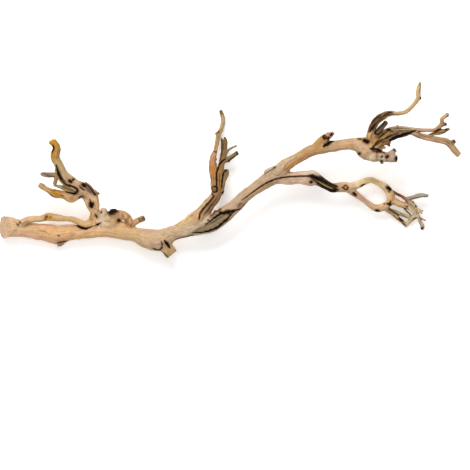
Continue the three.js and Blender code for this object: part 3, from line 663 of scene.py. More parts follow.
# The middle branch: two strands of weathered wood, one pale and one brown, that grew out of the trunk twisted
# together, up to a ringed knot. Past it are slabs, spikes and a long thin shoot that droops to the floor.
MIDDLE_BRANCH = {
    "stem": [
        (196, 226, 24, 7.4), (198.6, 217.8, 24.5, 7.6), (204.6, 210.6, 24, 6.6), (210.2, 203.2, 22.8, 5.2),
        (215.8, 196.6, 21.6, 5), (218.4, 190, 20.4, 5.6),
    ],
    "pale_strand": [(178, 229, 20.5, 5), (187.6, 223, 23, 5.3), (196, 215.4, 24.6, 5.2)],
    "long_shoot": [
        (216, 192, 20.8, 4), (214.4, 187.5, 19.8, 3.7), (213.7, 180.5, 18.6, 3), (213.2, 171, 16.6, 4),
        (212.4, 163.5, 14.6, 3.4), (212.9, 157, 12.8, 3.2), (215.2, 151, 11.2, 2.1), (217, 142, 9, 2),
        (218.9, 134, 7, 2.4), (221.7, 128, 5.4, 2.2), (223.1, 119.6, 3.2, 2.2), (221.9, 114.6, 1.9, 1.9),
        (220.4, 110, 1, 1.6),
    ],
    "slab": [
        (219.3, 193, 20.5, 3.4), (219.2, 181, 19.5, 3.4), (219.8, 172, 18.5, 3.6), (221.6, 164, 17.5, 3.2),
        (223.4, 155, 16.5, 3.2), (224, 147, 15.5, 3),
    ],
    "left_spike": [(222.8, 149.5, 15.6, 2), (221.5, 137.6, 14.6, 0.8)],
    "right_spike": [
        (225.2, 149.5, 15.6, 2.2), (225.3, 142, 15.2, 1.8), (224.5, 136.6, 15, 0.8),
    ],
    "side_slab": [
        (221.4, 193, 21, 2.6), (223.4, 182, 20.6, 2.5), (226.2, 174, 20.2, 2.8), (226.6, 169.4, 20, 2.2),
    ],
    "thin_twig": [(224.4, 158, 17, 1.4), (228.5, 150, 19, 1.2), (236.6, 145.6, 21, 1)],
    "black_stub": [(222.5, 162, 17, 2.3), (229.5, 158.4, 17.5, 2.3), (238, 152.5, 18.5, 2)],
    "stub_nub": [(227.6, 159.6, 17.4, 1.8), (229.5, 161.8, 17.6, 1.5)],
    "side_bump": [(213, 163, 14.6, 2.6), (209.5, 161.6, 14.6, 1.5)],
    "bud": [(219.2, 134.2, 7, 1.8), (215.8, 132.8, 7, 1.4)],
}
MIDDLE_COLOURS = {
    "stem": ["#CBA578", "#B48D64", "#B08B5C", "#A9855D", "#A78358", "#A17D56"],
    "pale_strand": ["#CDB08A", "#D6BA90", "#D8BC94"],
    "long_shoot": [
        "#A4804F", "#B48D59", "#BD955C", "#BD8D55", "#BD9563", "#C19D71", "#B49561", "#BBA06F", "#B49768",
        "#BBA480", "#948763",
    ],
    "slab": ["#9F7545", "#A67B49", "#AB804D", "#9B794B", "#826745", "#806741"],
    "left_spike": ["#765F3D", "#5B4F3B"],
    "right_spike": ["#8D734D", "#766145"],
    "side_slab": ["#947749", "#94794B", "#917B55", "#877B5B"],
    "thin_twig": ["#89724F", "#968160"],
    "black_stub": ["#896E46", "#968A64", "#51452C"],
    "stub_nub": ["#6E5A38", "#2A1E10"],
    "side_bump": ["#C89155", "#C89362"],
    "bud": ["#A17B4A", "#67522E"],
}
MIDDLE_MARKS = [
    stain([(205, 213, 2.4), (210, 205.6, 3.2), (215, 198.4, 2.8), (219, 193.6, 1.8)], "#8E6C58", 0.65),
    stain(
        [(180, 227, 3), (188, 221.5, 4.6), (195.6, 214.6, 4.2), (204.4, 205, 2.8), (211.6, 197, 2)],
        "#D9B486", 0.95,
    ),
    crack(
        [(199.2, 220.2, 0.5), (199.9, 214, 1), (203.2, 209.2, 1.1), (207.1, 205, 1.1), (213.6, 197, 0.9)],
        2.2, 0.92,
    ),
    crack([(203.6, 216, 0.3), (208, 209.6, 0.5), (214.4, 200.4, 0.3)], 0.7, 0.5),
    crack([(206.6, 217.4, 0.3), (211.2, 211.4, 0.5), (218, 201.4, 0.3)], 0.7, 0.5),
    crack([(212.6, 213, 0.3), (214.4, 208.4, 0.8), (217.6, 209, 0.5)], 1.2, 0.8),
    pit(191.8, 215.8, 1.0, 0.7, 0, 0.6, 0.4),
    stain([(214.4, 189.3, 2.0), (214.6, 189.4, 2.0)], "#6E5A30", 0.7),
    crack(
        [
            (211.5, 189, 0.6), (212.8, 186.8, 0.7), (215.4, 186.3, 0.8), (217.2, 188, 1.2),
            (216.8, 191.4, 1.2), (214, 192.4, 0.8), (211.8, 191, 0.7), (211.5, 189, 0.6),
        ],
        1.2, 0.95,
    ),
    crack([(211.6, 193.6, 0.6), (213.4, 195.6, 0.8), (214.4, 196.8, 0.4)], 1.2, 0.9),
    pit(220.9, 189.4, 1.3, 1.1, 0, 0.6, 0.45),
    pit(223, 192.6, 1.6, 1.1, 30, 1.6),
    pit(225.9, 190.2, 1.2, 0.9, 20, 0.5),
    crack(
        [
            (216.8, 187, 0.7), (216.6, 180, 0.8), (216.4, 174, 0.7), (217.6, 169.8, 0.7), (219.6, 164.4, 0.9),
            (222, 161.4, 0.9), (225.4, 158.8, 0.5),
        ],
        2.2,
    ),
    crack([(221.7, 187.6, 0.6), (222.2, 181, 0.8), (222.9, 176, 0.8), (224.2, 172, 0.8)], 1.8),
    pit(225.6, 170.2, 2.1, 1.2, 70, 1.8),
    crack([(220.4, 160, 0.5), (221.8, 152, 0.7), (222.2, 145, 0.6), (221.8, 139.5, 0.4)], 1.0, 0.8),
    crack([(223.6, 150, 0.3), (223.4, 144, 0.5)], 0.6, 0.5),
    crack([(213.9, 151.2, 0.4), (215.6, 152, 0.8), (217, 151.6, 0.5)], 0.6, 0.85),
    pit(218.4, 131.9, 1.3, 0.8, 35, 0.9, 0.95),
    bulge(216, 159.4, 1.3, 0.9),
    bulge(216, 163.8, 1.4, 0.9),
    bulge(211.8, 166.6, 2.0, 0.7),
    bulge(213, 177, 2.0, 0.5),
    bulge(216.4, 133.2, 1.3, 0.6),
    crack([(206, 213.4, 0.3), (211, 206.4, 0.6), (217, 197.6, 0.4)], 0.9, 0.75),
    crack([(218.4, 200.6, 0.3), (221.6, 196.4, 0.6), (224.6, 191.6, 0.4)], 0.7, 0.7),
    crack([(219.4, 187, 0.3), (219.6, 180, 0.5), (220, 173, 0.3)], 0.7, 0.7),
    crack([(214, 180, 0.3), (213.6, 174, 0.4)], 0.4, 0.5),
    crack([(219, 148, 0.3), (219.4, 141, 0.4)], 0.5, 0.6),
    pit(216, 159.4, 0.9, 0.7, 60, 0.5, 0.85),
    pit(216, 163.8, 1.3, 0.7, 80, 0.6, 0.85),
    stain([(213, 169, 2.2), (213.2, 172, 2.2)], "#C07424", 0.75),
    stain([(212.6, 158, 1.6), (212.4, 163, 1.6)], "#C49070", 0.5),
    crack([(211.6, 182, 0.3), (211.2, 175, 0.5)], 0.6, 0.5),
    pit(238, 152.5, 1.7, 1.6, 30, 0.5),
    crack([(229.6, 160, 0.7), (233, 157.4, 0.5), (236.4, 155.4, 0.5)], 0.7, 0.85),
    pit(229.4, 161.4, 1.5, 1.3, 0, 0.4),
    stain([(220.6, 111, 1.6), (221.2, 113.6, 1.4)], "#5E4E2C", 0.8),
]
grow("middle_branch", MIDDLE_BRANCH, MIDDLE_COLOURS, grey_wood, MIDDLE_MARKS)


# The lower limb: pale wood that grew on from the trunk's fork, past a swollen knuckle with a knot hole and a
# dark twisted length where the bark stayed on, to a ringed knot.
LOWER_LIMB = {
    "limb": [
        (268, 180.5, 27.6, 5.2), (280, 178.2, 27.4, 6), (290, 178.4, 27, 5.9), (300, 177.8, 26.6, 6),
        (308, 178, 26.2, 7.2), (313, 178.1, 25.8, 7.7), (318.5, 180.2, 25.2, 5.5), (325, 184, 24, 4.7),
        (332, 187.6, 22.6, 4.6), (338, 187.6, 21.4, 4.8), (345, 187.4, 20, 5.3), (352, 187.4, 18.8, 5.1),
    ],
}
LOWER_COLOURS = {
    "limb": [
        "#CFB19C", "#D3B69F", "#D9BBA6", "#D9BBA6", "#D9BCA8", "#E0C3A8", "#3E301D", "#362A1A", "#453825",
        "#C3A27C", "#D8B592", "#D6B792",
    ],
}
LOWER_MARKS = [
    crack(
        [(279, 178.2, 0.8), (288, 176.9, 0.9), (296.5, 176.5, 0.9), (304, 176.3, 0.8), (310, 176.2, 0.9)],
        2.0, 0.92,
    ),
    stain([(281, 179.8, 1.2), (296, 178.4, 1.4), (308, 178, 1)], "#BC9670", 0.4),
    stain(
        [(312, 177, 2), (318, 180, 4), (326, 184.6, 4.6), (333, 188.6, 4.2), (337.6, 189.6, 1.6)],
        "#241A10", 1.0, 0.35,
    ),
    stain([(316, 180, 0.3), (325, 185.2, 0.9), (333, 189, 0.5)], "#A08E66", 1.0),
    stain([(320, 179.4, 0.3), (327, 183, 0.7), (333, 186, 0.4)], "#7E6A44", 1.0),
    crack(
        [(310.4, 175.6, 1.4), (312.6, 176.4, 2), (317, 178.6, 1.8), (322, 180.6, 1.6), (327, 183.2, 1.4)],
        1.8, 0.97,
    ),
    crack([(326, 182.4, 0.9), (331.6, 184.8, 1.1), (337.6, 187, 0.7)], 1.2, 0.95),
    crack([(318, 183.4, 0.6), (324, 187, 0.9), (330, 190.2, 1.2), (334.6, 190.6, 1.8)], 1.4, 0.97),
    crack([(322, 182.6, 0.4), (329, 186.4, 0.5), (335, 188, 0.5)], 0.7, 0.7),
    pit(311.1, 182.2, 1.9, 1.7, 0, 2.4, 0.97),
    stain([(306, 172.6, 2.4), (313, 171.6, 2.8), (318.6, 174, 1.8)], "#E2CDB8", 0.7),
    stain([(309, 182.6, 2.4), (314, 184.2, 2.2)], "#DCC4A8", 0.6),
    stain([(345.9, 187.6, 2.2), (346.3, 187.7, 2.2)], "#B07A58", 0.8),
    crack(
        [
            (343.4, 187.4, 0.6), (344.4, 185.6, 0.7), (346.8, 185.2, 0.6), (348.2, 187.4, 0.8),
            (347, 189.8, 0.8), (344.6, 189.6, 0.7), (343.4, 187.4, 0.6),
        ],
        0.9, 0.8,
    ),
    crack([(341.6, 187.4, 0.4), (343.4, 187.6, 1)], 0.8, 0.85),
]
grow("lower_limb", LOWER_LIMB, LOWER_COLOURS, pale_wood, LOWER_MARKS)


# The upper limb: pale wood that grew up from the trunk's fork, with a cluster of cut spurs halfway, to a
# lumpy burr of old pruning cuts at its end.
UPPER_LIMB = {
    "limb": [
        (271, 177, 28.5, 6), (278, 171.5, 29.5, 6.4), (287, 164.8, 31, 6.4), (293, 160.7, 32, 5.3),
        (302, 155.8, 33.5, 5.3), (312, 150.6, 35.5, 5.6), (320, 148, 37, 6.2), (334.6, 146.4, 40, 5),
        (345, 145, 42, 5.2), (356, 144.5, 44, 6.6), (364.6, 147.6, 45, 10.4), (373, 153.4, 44.5, 8.3),
        (382.5, 156.8, 43.5, 5.1), (391, 157.9, 42.8, 4.4), (397.2, 158.5, 42.5, 3.1),
    ],
    "fork_web": [(281, 172.5, 29, 5), (288.6, 167.8, 30, 4.2)],
    "cut_spur": [(317.5, 147, 38, 5), (324, 139.8, 40, 4.6), (330, 135.2, 41.5, 3.2)],
    "spur_tip_left": [(322.6, 141, 40, 3), (324.6, 135.4, 40, 2.2)],
    "spur_tip_middle": [(326.4, 139, 41, 2.5), (328.6, 132.4, 42, 1.8)],
    "spur_tip_right": [(329, 136.4, 42, 2.5), (333.7, 132.8, 43, 1.9)],
    "burr_stub": [(387, 157, 43, 3.2), (395, 149.6, 44.5, 2.5)],
    "burr_drip": [(380.6, 158, 43, 2.4), (382, 164, 42.5, 1.5)],
}
UPPER_COLOURS = {
    "limb": [
        "#C3AA8F", "#C1A583", "#C39D6E", "#C2A072", "#C4A276", "#C4A47C", "#C4A27E", "#C7A683", "#C9AB88",
        "#D9B38D", "#C5AC95", "#B6A38D",
    ],
    "fork_web": ["#C2A47C", "#BA9260"],
    "cut_spur": ["#CCA269", "#C2986D", "#B18B70"],
    "spur_tip_left": ["#B98F69", "#A88767"],
    "spur_tip_middle": ["#B18B70", "#A28167"],
    "spur_tip_right": ["#A88363", "#B18B74"],
    "burr_stub": ["#C8AE97", "#B9A188"],
    "burr_drip": ["#C2A285", "#705B45"],
}
UPPER_MARKS = [
    stain([(278, 169, 3), (286, 163, 3), (294, 158, 1.6)], "#CDBB9C", 0.75),
    stain(
        [(287, 168, 3.2), (293, 163.6, 3.2), (303, 157.6, 2.8), (313, 151.4, 2.2), (321, 147, 1.6)],
        "#BB8A50", 0.65,
    ),
    crack([(284, 170, 0.4), (284.8, 166.4, 0.5), (288.6, 161.6, 0.4), (296, 158, 0.3)], 0.5, 0.35),
    stain([(312, 143.4, 1.6), (318, 144, 2), (324, 141, 1.6)], "#B8853C", 0.5),
    crack([(323.8, 146.6, 0.9), (326.4, 144.6, 1.9), (329.4, 142.8, 1.7), (333.6, 141, 0.5)], 3.0),
    crack(
        [(322.8, 137.4, 1), (324.4, 135.6, 1), (326.2, 137.2, 1), (324.6, 139.1, 1), (322.8, 137.4, 1)],
        1.2,
    ),
    pit(328.1, 138.4, 1.9, 1.5, 40, 1.4),
    pit(331.2, 134.9, 2.0, 1.4, 50, 1.2),
    stain([(327, 134, 1.8), (330, 137.6, 1.4), (333.4, 132.8, 1.4)], "#B8937C", 0.7),
    stain([(340, 146, 1.8), (352, 146, 2)], "#C89468", 0.5),
    pit(365.8, 141.6, 3.8, 2.3, -25, 3.4),
    pit(359.4, 139.2, 2.3, 1.1, -8, 0.8, 0.75),
    pit(359, 153.8, 1.7, 1.4, 0, 1.6, 0.95),
    stain([(367.8, 152.9, 1.3), (368, 153.2, 1.3)], "#8A6A40", 0.8),
    crack([(371.2, 149.6, 0.6), (373.4, 146.4, 1), (376, 143.6, 0.9)], 1.8, 0.95),
    crack([(372, 149.2, 0.7), (376, 148.8, 1.1), (379.8, 151.6, 1)], 1.8),
    pit(383.5, 153.3, 1.3, 1.1, 0, 0.8, 0.9),
    pit(381.4, 156.7, 1.4, 1.2, 0, 1.0, 0.95),
    pit(381.4, 161.2, 1.5, 1.2, 40, 0.8, 0.97),
    pit(387, 156.9, 2.2, 1.8, 40, 1.8),
    pit(396, 158.5, 2.4, 2.0, 70, 1.4),
    pit(394.6, 149.8, 1.8, 1.3, 50, 0.7, 0.95),
    pit(382.3, 163.9, 1.1, 0.9, 70, 0.3, 0.85),
    stain([(370, 157.6, 4), (382, 158, 3.4)], "#E2CBB2", 0.75),
    stain([(388, 158, 3), (394, 156, 3.6)], "#CDB6A4", 0.6),
    stain([(372, 161, 1.6), (376, 160.6, 1.4)], "#AFA89C", 0.6),
    bulge(360, 149, 3.4, 0.8),
    bulge(365, 155.4, 3.6, 1.1),
    bulge(372.6, 158.4, 3.2, 1.3),
    bulge(381.8, 154.8, 2.8, 1.2),
    bulge(391, 155.6, 3.6, 1.1),
    bulge(394.6, 159, 2.6, 0.9),
    crack([(376.4, 152.4, 0.8), (377.4, 156.6, 1.5), (377.4, 161.6, 1.2)], 1.6, 0.3),
    crack([(386.4, 151.8, 0.8), (386.2, 155.4, 1.2), (387, 161.6, 1)], 1.4, 0.3),
    stain([(370.6, 149, 1.4), (375, 150, 3), (380.4, 152, 2)], "#4E2C1C", 0.92, 0.6),
    stain([(360, 157.6, 1), (367, 160, 1.2)], "#B09078", 0.5),
]
grow("upper_limb", UPPER_LIMB, UPPER_COLOURS, pale_wood, UPPER_MARKS)


# The arc branch: a shoot with some dark bark left on it, which grew out of the burr. It rises in an arc and
# ends in a pale crooked twig, with a short shoot beside it.
ARC_BRANCH = {
    "shoot": [
        (369.4, 147, 46, 4.4), (369.8, 139, 50, 4.1), (371, 131, 56, 3.6), (374, 124, 62, 3.6),
        (379.4, 118.5, 68, 3.7), (385.4, 115.3, 73, 3.4), (390.8, 113.9, 76, 2.8), (397.2, 114, 78, 2),
        (404.4, 112.6, 79, 1.9), (409.4, 109, 79, 1.9), (414.2, 103.6, 78, 2), (417.6, 98.4, 76.5, 2.3),
        (417.4, 92.5, 74.5, 2.2), (418.4, 87, 72.5, 1.9), (419.6, 82.6, 71.4, 0.8),
    ],
    "bud": [(417.8, 98.6, 76.6, 1.8), (420.4, 99, 76.8, 1.2)],
    "short_shoot": [
        (370.6, 142, 48, 3.5), (376.4, 134.4, 53, 3.2), (381, 128.4, 57, 2.9), (386, 122.2, 61, 2.3),
    ],
}
ARC_COLOURS = {
    "shoot": [
        "#EFC694", "#EFC694", "#B48E66", "#755940", "#846644", "#846644", "#8B6D49", "#C9A87E", "#CEAF80",
        "#CBAC7B", "#CBAC78", "#CBAC7D", "#CBAF80", "#C5AA78",
    ],
    "bud": ["#8A7450", "#3A2C1C"],
    "short_shoot": ["#DBA55C", "#7D6246", "#78654B", "#6D5C46"],
}
ARC_MARKS = [
    stain([(369.4, 140, 3.4), (370.2, 135, 3.4), (370.6, 133, 2.6)], "#EDBE84", 0.9),
    stain([(368.6, 131.6, 1.4), (370, 126.6, 1.4), (373.4, 121, 1.4), (380, 116.2, 1.2)], "#5A4434", 0.7),
    crack([(369.4, 132.2, 0.6), (371.6, 129, 1.6), (373.6, 125.8, 0.9), (375, 123.6, 0.4)], 0.7, 0.97),
    crack([(371.4, 124.4, 0.4), (374.6, 119.4, 0.8), (380, 115.8, 0.5)], 0.5, 0.85),
    crack([(374.4, 126.4, 0.3), (378.4, 121.6, 0.6), (383.4, 118.6, 0.3)], 0.6, 0.85),
    crack([(376, 120.6, 0.3), (382.4, 116.8, 0.7), (388, 114.8, 0.5)], 0.5, 0.7),
    crack([(384, 114, 0.4), (388, 112.8, 0.8), (391.6, 113, 0.5)], 0.4, 0.85),
    stain([(384.6, 115.4, 1.6), (388.4, 114.2, 2), (391, 114, 1.4)], "#4C3622", 0.7, 0.7),
    stain([(376.4, 124, 0.8), (381.4, 120, 0.9), (387, 117, 0.7)], "#B89468", 0.6),
    pit(365.8, 141.6, 3.8, 2.3, -25, 3.0),
    pit(420.2, 98.4, 1.6, 1.0, 60, 0.3, 0.95),
    crack([(374.6, 133.6, 0.8), (376, 130.4, 0.8), (380.6, 125.4, 0.7), (385, 121.4, 0.6)], 0.8, 0.95),
    crack([(374.8, 134, 0.7), (377.4, 134.8, 0.8), (380.6, 132.6, 0.6), (382.6, 129.4, 0.4)], 0.8, 0.95),
    crack([(378.6, 130.6, 0.3), (383.4, 125.2, 0.4)], 0.4, 0.6),
    stain([(379.4, 130.6, 1), (385.4, 123.6, 0.9)], "#8E7C66", 0.5),
    stain([(418.8, 86, 0.9), (419.4, 83.4, 0.8)], "#7E7440", 0.6),
]
# wood with thin bark still on it: nearly black streaks lie over the tan, and it is the roughest of the three
bark_wood = blasted_wood("vine wood with bark on it", "#3A2A18", 0.75, 0.9, 0.9)
grow("arc_branch", ARC_BRANCH, ARC_COLOURS, bark_wood, ARC_MARKS)


# The tip branch: a flattened strip of fibrous wood, which grew on from the burr and forks into two crooked
# twigs at the far end. A thinner limb along its underside is coloured near-black: painted shade under the
# strip.
TIP_BRANCH = {
    "strip": [
        (369, 149, 47, 5), (378, 141.5, 49, 5.2), (386, 135.2, 50, 5.3), (395, 131.8, 50.5, 5),
        (405, 130.5, 50.5, 3.7), (414, 129.9, 50, 2.6),
    ],
    # a thinner limb under the strip, near-black with painted shade
    "shadow_strip": [
        (381, 143, 46.5, 3.4), (394, 136.6, 46.5, 3.3), (405, 134.4, 47.5, 2.3), (414, 131.6, 48.5, 1.7),
    ],
    "spike": [(395.5, 129.8, 53.5, 2.2), (397.6, 125.2, 55, 0.9)],
    "upper_twig": [
        (411, 130, 50, 2.4), (425, 130.5, 50, 1.8), (434, 130.3, 51, 2), (438.6, 127.5, 52.5, 2.3),
        (441.8, 123.7, 54, 2.2), (441.3, 119.8, 55.5, 2), (444.4, 117, 57, 1.9), (447.8, 114.7, 58.5, 2),
    ],
    "cut_stub": [(440.4, 125.8, 53, 1.8), (446.2, 124.2, 53.5, 1.6)],
    "forked_stub": [(435.5, 131, 51, 2), (443.6, 131, 51.5, 1.8), (449, 128.8, 52, 1.3)],
    "link": [
        (427.5, 136.8, 46, 1.8), (433, 134.2, 48, 1.7), (439, 133.4, 49.5, 1.8), (445, 131.4, 51, 1.6),
    ],
    "lower_twig": [
        (409, 130.8, 49.8, 2.6), (418, 135.2, 48, 2.7), (427, 137.9, 46, 2.9), (436.8, 140, 44, 3),
        (445.6, 141.8, 42, 3.2), (450.8, 145.9, 40.5, 3.3), (454.8, 151, 39.5, 3.1),
        (458.7, 155.4, 38.5, 2.8),
    ],
    "twig_nub": [(450.2, 144, 41.5, 2.5), (454.8, 140.9, 42, 1.8)],
    "under_twig": [(377, 147, 46, 2.4), (386, 142.5, 45.5, 2), (390, 143.7, 45, 1.7)],
    "under_thorn": [(384.6, 143, 45, 1.4), (389.9, 146.2, 44, 1)],
    "thorn": [(376, 149.6, 45.5, 2), (385.6, 147.4, 45.5, 0.9)],
}
TIP_COLOURS = {
    "strip": ["#EEB569", "#D3A969", "#C5A472", "#B69B7B", "#D3B590", "#E4CAAA"],
    # near-black: painted shade under the strip
    "shadow_strip": ["#3E2C18", "#20150A", "#20150A", "#4E3C26"],
    "spike": ["#BA9C70", "#E1C297"],
    "upper_twig": ["#B69674", "#C7A37D", "#D1AB87", "#D1AB81", "#D1A976", "#CBA57F"],
    "cut_stub": ["#94785A", "#2A1E12"],
    "forked_stub": ["#BE986A", "#B68F67", "#987D65"],
    "link": ["#A78D60", "#927C51"],
    "lower_twig": ["#A88F6A", "#C7A079", "#D3AB81", "#D5B187", "#D1AB81", "#D3AD81"],
    "twig_nub": ["#B0926C", "#4A3A26"],
    "under_twig": ["#B67E46", "#D59457", "#BF8B64"],
    "under_thorn": ["#6A4E30", "#2A1C10"],
    "thorn": ["#C89C73", "#CEA987"],
}
TIP_MARKS = [
    stain([(374, 144, 1.4), (380, 138.6, 1.6), (386, 133.4, 1.2)], "#B87A38", 0.7),
    crack([(372.4, 147.4, 0.6), (377.4, 142.6, 1), (382.4, 139.4, 0.6)], 1.6, 0.97),
    crack([(377.6, 138.4, 0.4), (382.6, 134.4, 0.7), (387.6, 131, 0.5)], 1.0, 0.8),
    crack([(382, 140.6, 0.4), (388, 137.4, 0.7), (394, 134.6, 0.6), (399, 133.2, 0.3)], 1.2, 0.9),
    crack([(386.4, 129.8, 0.5), (389.6, 130.8, 0.9), (392.6, 131.8, 0.4)], 0.9, 0.9),
    pit(388.4, 129.6, 2.2, 1.0, -15, 0.9, 0.9),
    stain([(384, 139.6, 1.2), (390, 135.4, 1.4)], "#3E2C1A", 0.7, 0.6),
    crack([(375, 143.4, 0.3), (380.6, 137, 0.5), (385.4, 133.6, 0.3)], 0.6, 0.8),
    crack([(374.6, 146.8, 0.3), (381, 142.2, 0.6), (386.4, 141, 0.4)], 0.6, 0.8),
    crack([(389, 133.2, 0.3), (396, 132.4, 0.4), (404, 131.8, 0.3)], 0.5, 0.7),
    crack([(393, 128.6, 0.3), (401, 128.4, 0.5), (410, 129.2, 0.3)], 0.5, 0.6),
    crack([(392, 131.4, 0.3), (401, 131, 0.5), (411, 130.6, 0.3)], 0.5, 0.6),
    # the black crevice along the strip's underside: painted shadow
    crack(
        [(389.6, 140, 1.2), (396, 137, 1.8), (403, 134.8, 1.7), (409.6, 132.8, 1.3), (415.6, 130.6, 0.6)],
        0.8,
    ),
    stain([(417.6, 132.6, 1.4), (420.4, 135.8, 1.2)], "#8E8670", 0.5),
    crack([(418, 131.6, 0.5), (424, 133.6, 0.7), (430, 134.2, 0.6), (436, 133, 0.5)], 0.5, 0.75),
    pit(445.9, 124.1, 1.6, 1.3, 20, 0.4),
    crack([(434.6, 131.6, 0.6), (437.6, 130.6, 1.3), (440.4, 129.4, 0.7)], 0.5),
    pit(442.4, 127.8, 1.6, 1.1, 50, 0.5),
    pit(445.7, 129.8, 1.6, 1.0, 30, 0.4),
    pit(454.7, 141, 1.4, 1.3, 60, 0.4, 0.9),
    pit(446.6, 116.4, 1.0, 0.7, 40, 0.4, 0.6),
    stain([(437, 128.6, 1.6), (441.6, 122.6, 1.5)], "#B08A6C", 0.5),
    stain([(384, 143.4, 1.4), (389, 143.2, 1.4)], "#C88A58", 0.7),
    pit(389.8, 145.4, 1.2, 0.8, -40, 0.3, 0.95),
]
grow("tip_branch", TIP_BRANCH, TIP_COLOURS, bark_wood, TIP_MARKS)


# The loop: past the ringed knot the lower limb's pale wood parts into two arms, which grew together again
# round an open eye.
LOOP_RING = {
    "upper_arm": [
        (348, 187, 19.4, 5), (357, 185.2, 18.4, 3.7), (363.5, 182, 18, 3.4), (371, 180, 17.4, 3),
        (378, 182.9, 16.4, 3), (385.3, 187.3, 15, 3.4), (389.6, 192.5, 13.8, 3.8), (391, 198, 12.8, 3.6),
        (389.2, 203.5, 12, 3.4),
    ],
    "lower_arm": [
        (348, 188.6, 18.8, 4), (355.2, 193.7, 17, 3.2), (361, 197.8, 15.6, 2.7), (367.4, 202.7, 14, 2.7),
        (374, 207.4, 12.8, 3.3), (380, 208.2, 12, 3.8), (385.6, 206, 11.8, 3.7), (390.5, 202.5, 12, 3.3),
    ],
}
LOOP_COLOURS = {
    "upper_arm": ["#EFD7B5", "#EFD7B3", "#EFD3A6", "#ECD19D", "#EED3A2", "#EFD1A6", "#EFCF9D", "#EFCC9B"],
    "lower_arm": ["#E2B89F", "#D7AC97", "#D2AC8B", "#D9B890", "#DDBA92", "#DDB88B"],
}
LOOP_MARKS = [
    pit(354.8, 194.1, 2.9, 1.8, -40, 1.4),
    crack([(360.4, 186.4, 0.4), (362.8, 185.2, 0.9), (365, 184.2, 0.4)], 1.4, 0.97),
    pit(389, 188.5, 3.4, 2.1, -38, 1.8),
    pit(389.3, 191.8, 1.4, 0.9, -20, 0.9, 0.7),
    pit(388.2, 201.7, 3.2, 1.7, -10, 1.4),
    pit(389, 203.9, 3.1, 1.6, -25, 1.4),
    pit(377.4, 210.9, 2.5, 1.6, -10, 0.8),
    crack([(383.6, 201.4, 0.3), (384.4, 203.6, 0.7), (384.2, 205.6, 0.3)], 0.6, 0.6),
    stain([(358, 195.6, 1.4), (368, 203, 1.6)], "#B4907A", 0.5),
    stain([(350, 186, 2.6), (354, 187.4, 2.4)], "#D0A690", 0.5),
    stain([(392, 196, 2), (391, 201, 2)], "#D0A060", 0.6),
    stain([(366, 179.6, 1.2), (378, 181.4, 1.4)], "#C8A872", 0.5),
]
grow("loop_ring", LOOP_RING, LOOP_COLOURS, pale_wood, LOOP_MARKS)


# The twig cluster: a ragged fan of thin twigs and strands of pale, reddish and grey wood, which grew out of
# the end of the loop. The lowest of them touch the floor.
TWIG_CLUSTER = {
    "middle_strand": [
        (387.5, 200.5, 12.2, 4), (395, 201.4, 11.4, 3.6), (400, 204, 10.8, 3.3), (406, 205.7, 10, 3.2),
        (411, 208, 9.4, 2.9), (415, 211.5, 8.6, 2.6),
    ],
    "upper_strand": [
        (390, 190.3, 14.2, 2), (399.5, 195, 13, 1.4), (404.5, 198.2, 12, 1.7), (408.5, 201.5, 11, 2.1),
        (412.5, 203.8, 10.2, 2.3), (415.5, 209.5, 9, 2.4),
    ],
    "grey_twig": [
        (405.6, 199.2, 11.8, 1.8), (413.5, 197.4, 12.6, 2), (420.5, 195.5, 13.4, 2.2),
        (428.6, 195.8, 14, 1.5),
    ],
    "hanging_strand": [
        (414.6, 209, 8.8, 2.4), (415.4, 215, 7, 2.4), (410.8, 220.2, 4.4, 2.2), (406.8, 224.8, 1.6, 1.6),
    ],
    "lower_strand": [
        (386, 208.8, 11, 2.2), (396.4, 212, 8.8, 2), (403.7, 215.1, 7, 2), (411.5, 218.3, 5.4, 1.9),
    ],
    "foot_strand": [
        (385, 208.6, 10.6, 2.4), (392.6, 213.4, 8, 2.1), (398.5, 218.2, 5.6, 2), (404.2, 223, 3, 1.7),
        (406.6, 226.6, 1, 1.3),
    ],
    "cross_twig": [(404, 208.4, 8.8, 0.9), (411.8, 215.6, 6.8, 0.8)],
    "right_twig": [
        (414.8, 209.5, 8.8, 2.4), (418.2, 216, 6, 2), (421, 222.8, 3.2, 1.7), (422.8, 226.2, 1.9, 2.1),
        (422.1, 229.5, 1, 1.3),
    ],
    "side_lump": [(415, 209, 9, 2.4), (420.7, 211.2, 9.4, 1.8)],
    "side_thorn_up": [(419.6, 211, 9.4, 1), (423.8, 210.6, 9.8, 0.8)],
    "side_thorn_down": [(419.6, 211.2, 9.2, 1), (422.5, 213.8, 9, 0.8)],
    "thin_twig": [(418.2, 216.4, 6, 1), (422, 218.8, 5.4, 0.8), (426.5, 220.6, 4.8, 0.7)],
    "upper_nub": [(412, 203.6, 10.6, 1.6), (413.8, 201.3, 11.2, 1.2)],
    "side_nub": [(414.4, 207.2, 9.6, 1.6), (417, 206, 10, 1.2)],
    "strand_nub": [(411.2, 219.6, 5, 1.4), (416.2, 217.2, 5.2, 1)],
}
CLUSTER_COLOURS = {
    "middle_strand": ["#E0B878", "#E0B87D", "#DEB684", "#EFD9B3", "#E9DBB3"],
    "upper_strand": ["#7A4D2F", "#855636", "#A16C43", "#C7AE86", "#C7BC92"],
    "grey_twig": ["#A59C8B", "#A8A095", "#B1ACA3", "#9D9791"],
    "hanging_strand": ["#EFE0BB", "#EFDFBD", "#E9D7B2", "#CAB88E"],
    "lower_strand": ["#A08A6A", "#B9AD88", "#C3B78F", "#CABE97"],
    "foot_strand": ["#B08A62", "#A37C57", "#D5B28D", "#D5B488", "#B09670"],
    "cross_twig": ["#785A3D", "#8B7253"],
    "right_twig": ["#EFD5A3", "#EFD3A7", "#EACDA3", "#D6C3AE", "#64553E"],
    "side_lump": ["#EFDFB2", "#E9D7AE"],
    "side_thorn_up": ["#B39B7B", "#9B8879"],
    "side_thorn_down": ["#B39B7B", "#9B8879"],
    "thin_twig": ["#A7865F", "#B39B7B"],
    "upper_nub": ["#947A54", "#4E3C28"],
    "side_nub": ["#8A7250", "#4A3826"],
    "strand_nub": ["#5E4E30", "#2A2012"],
}
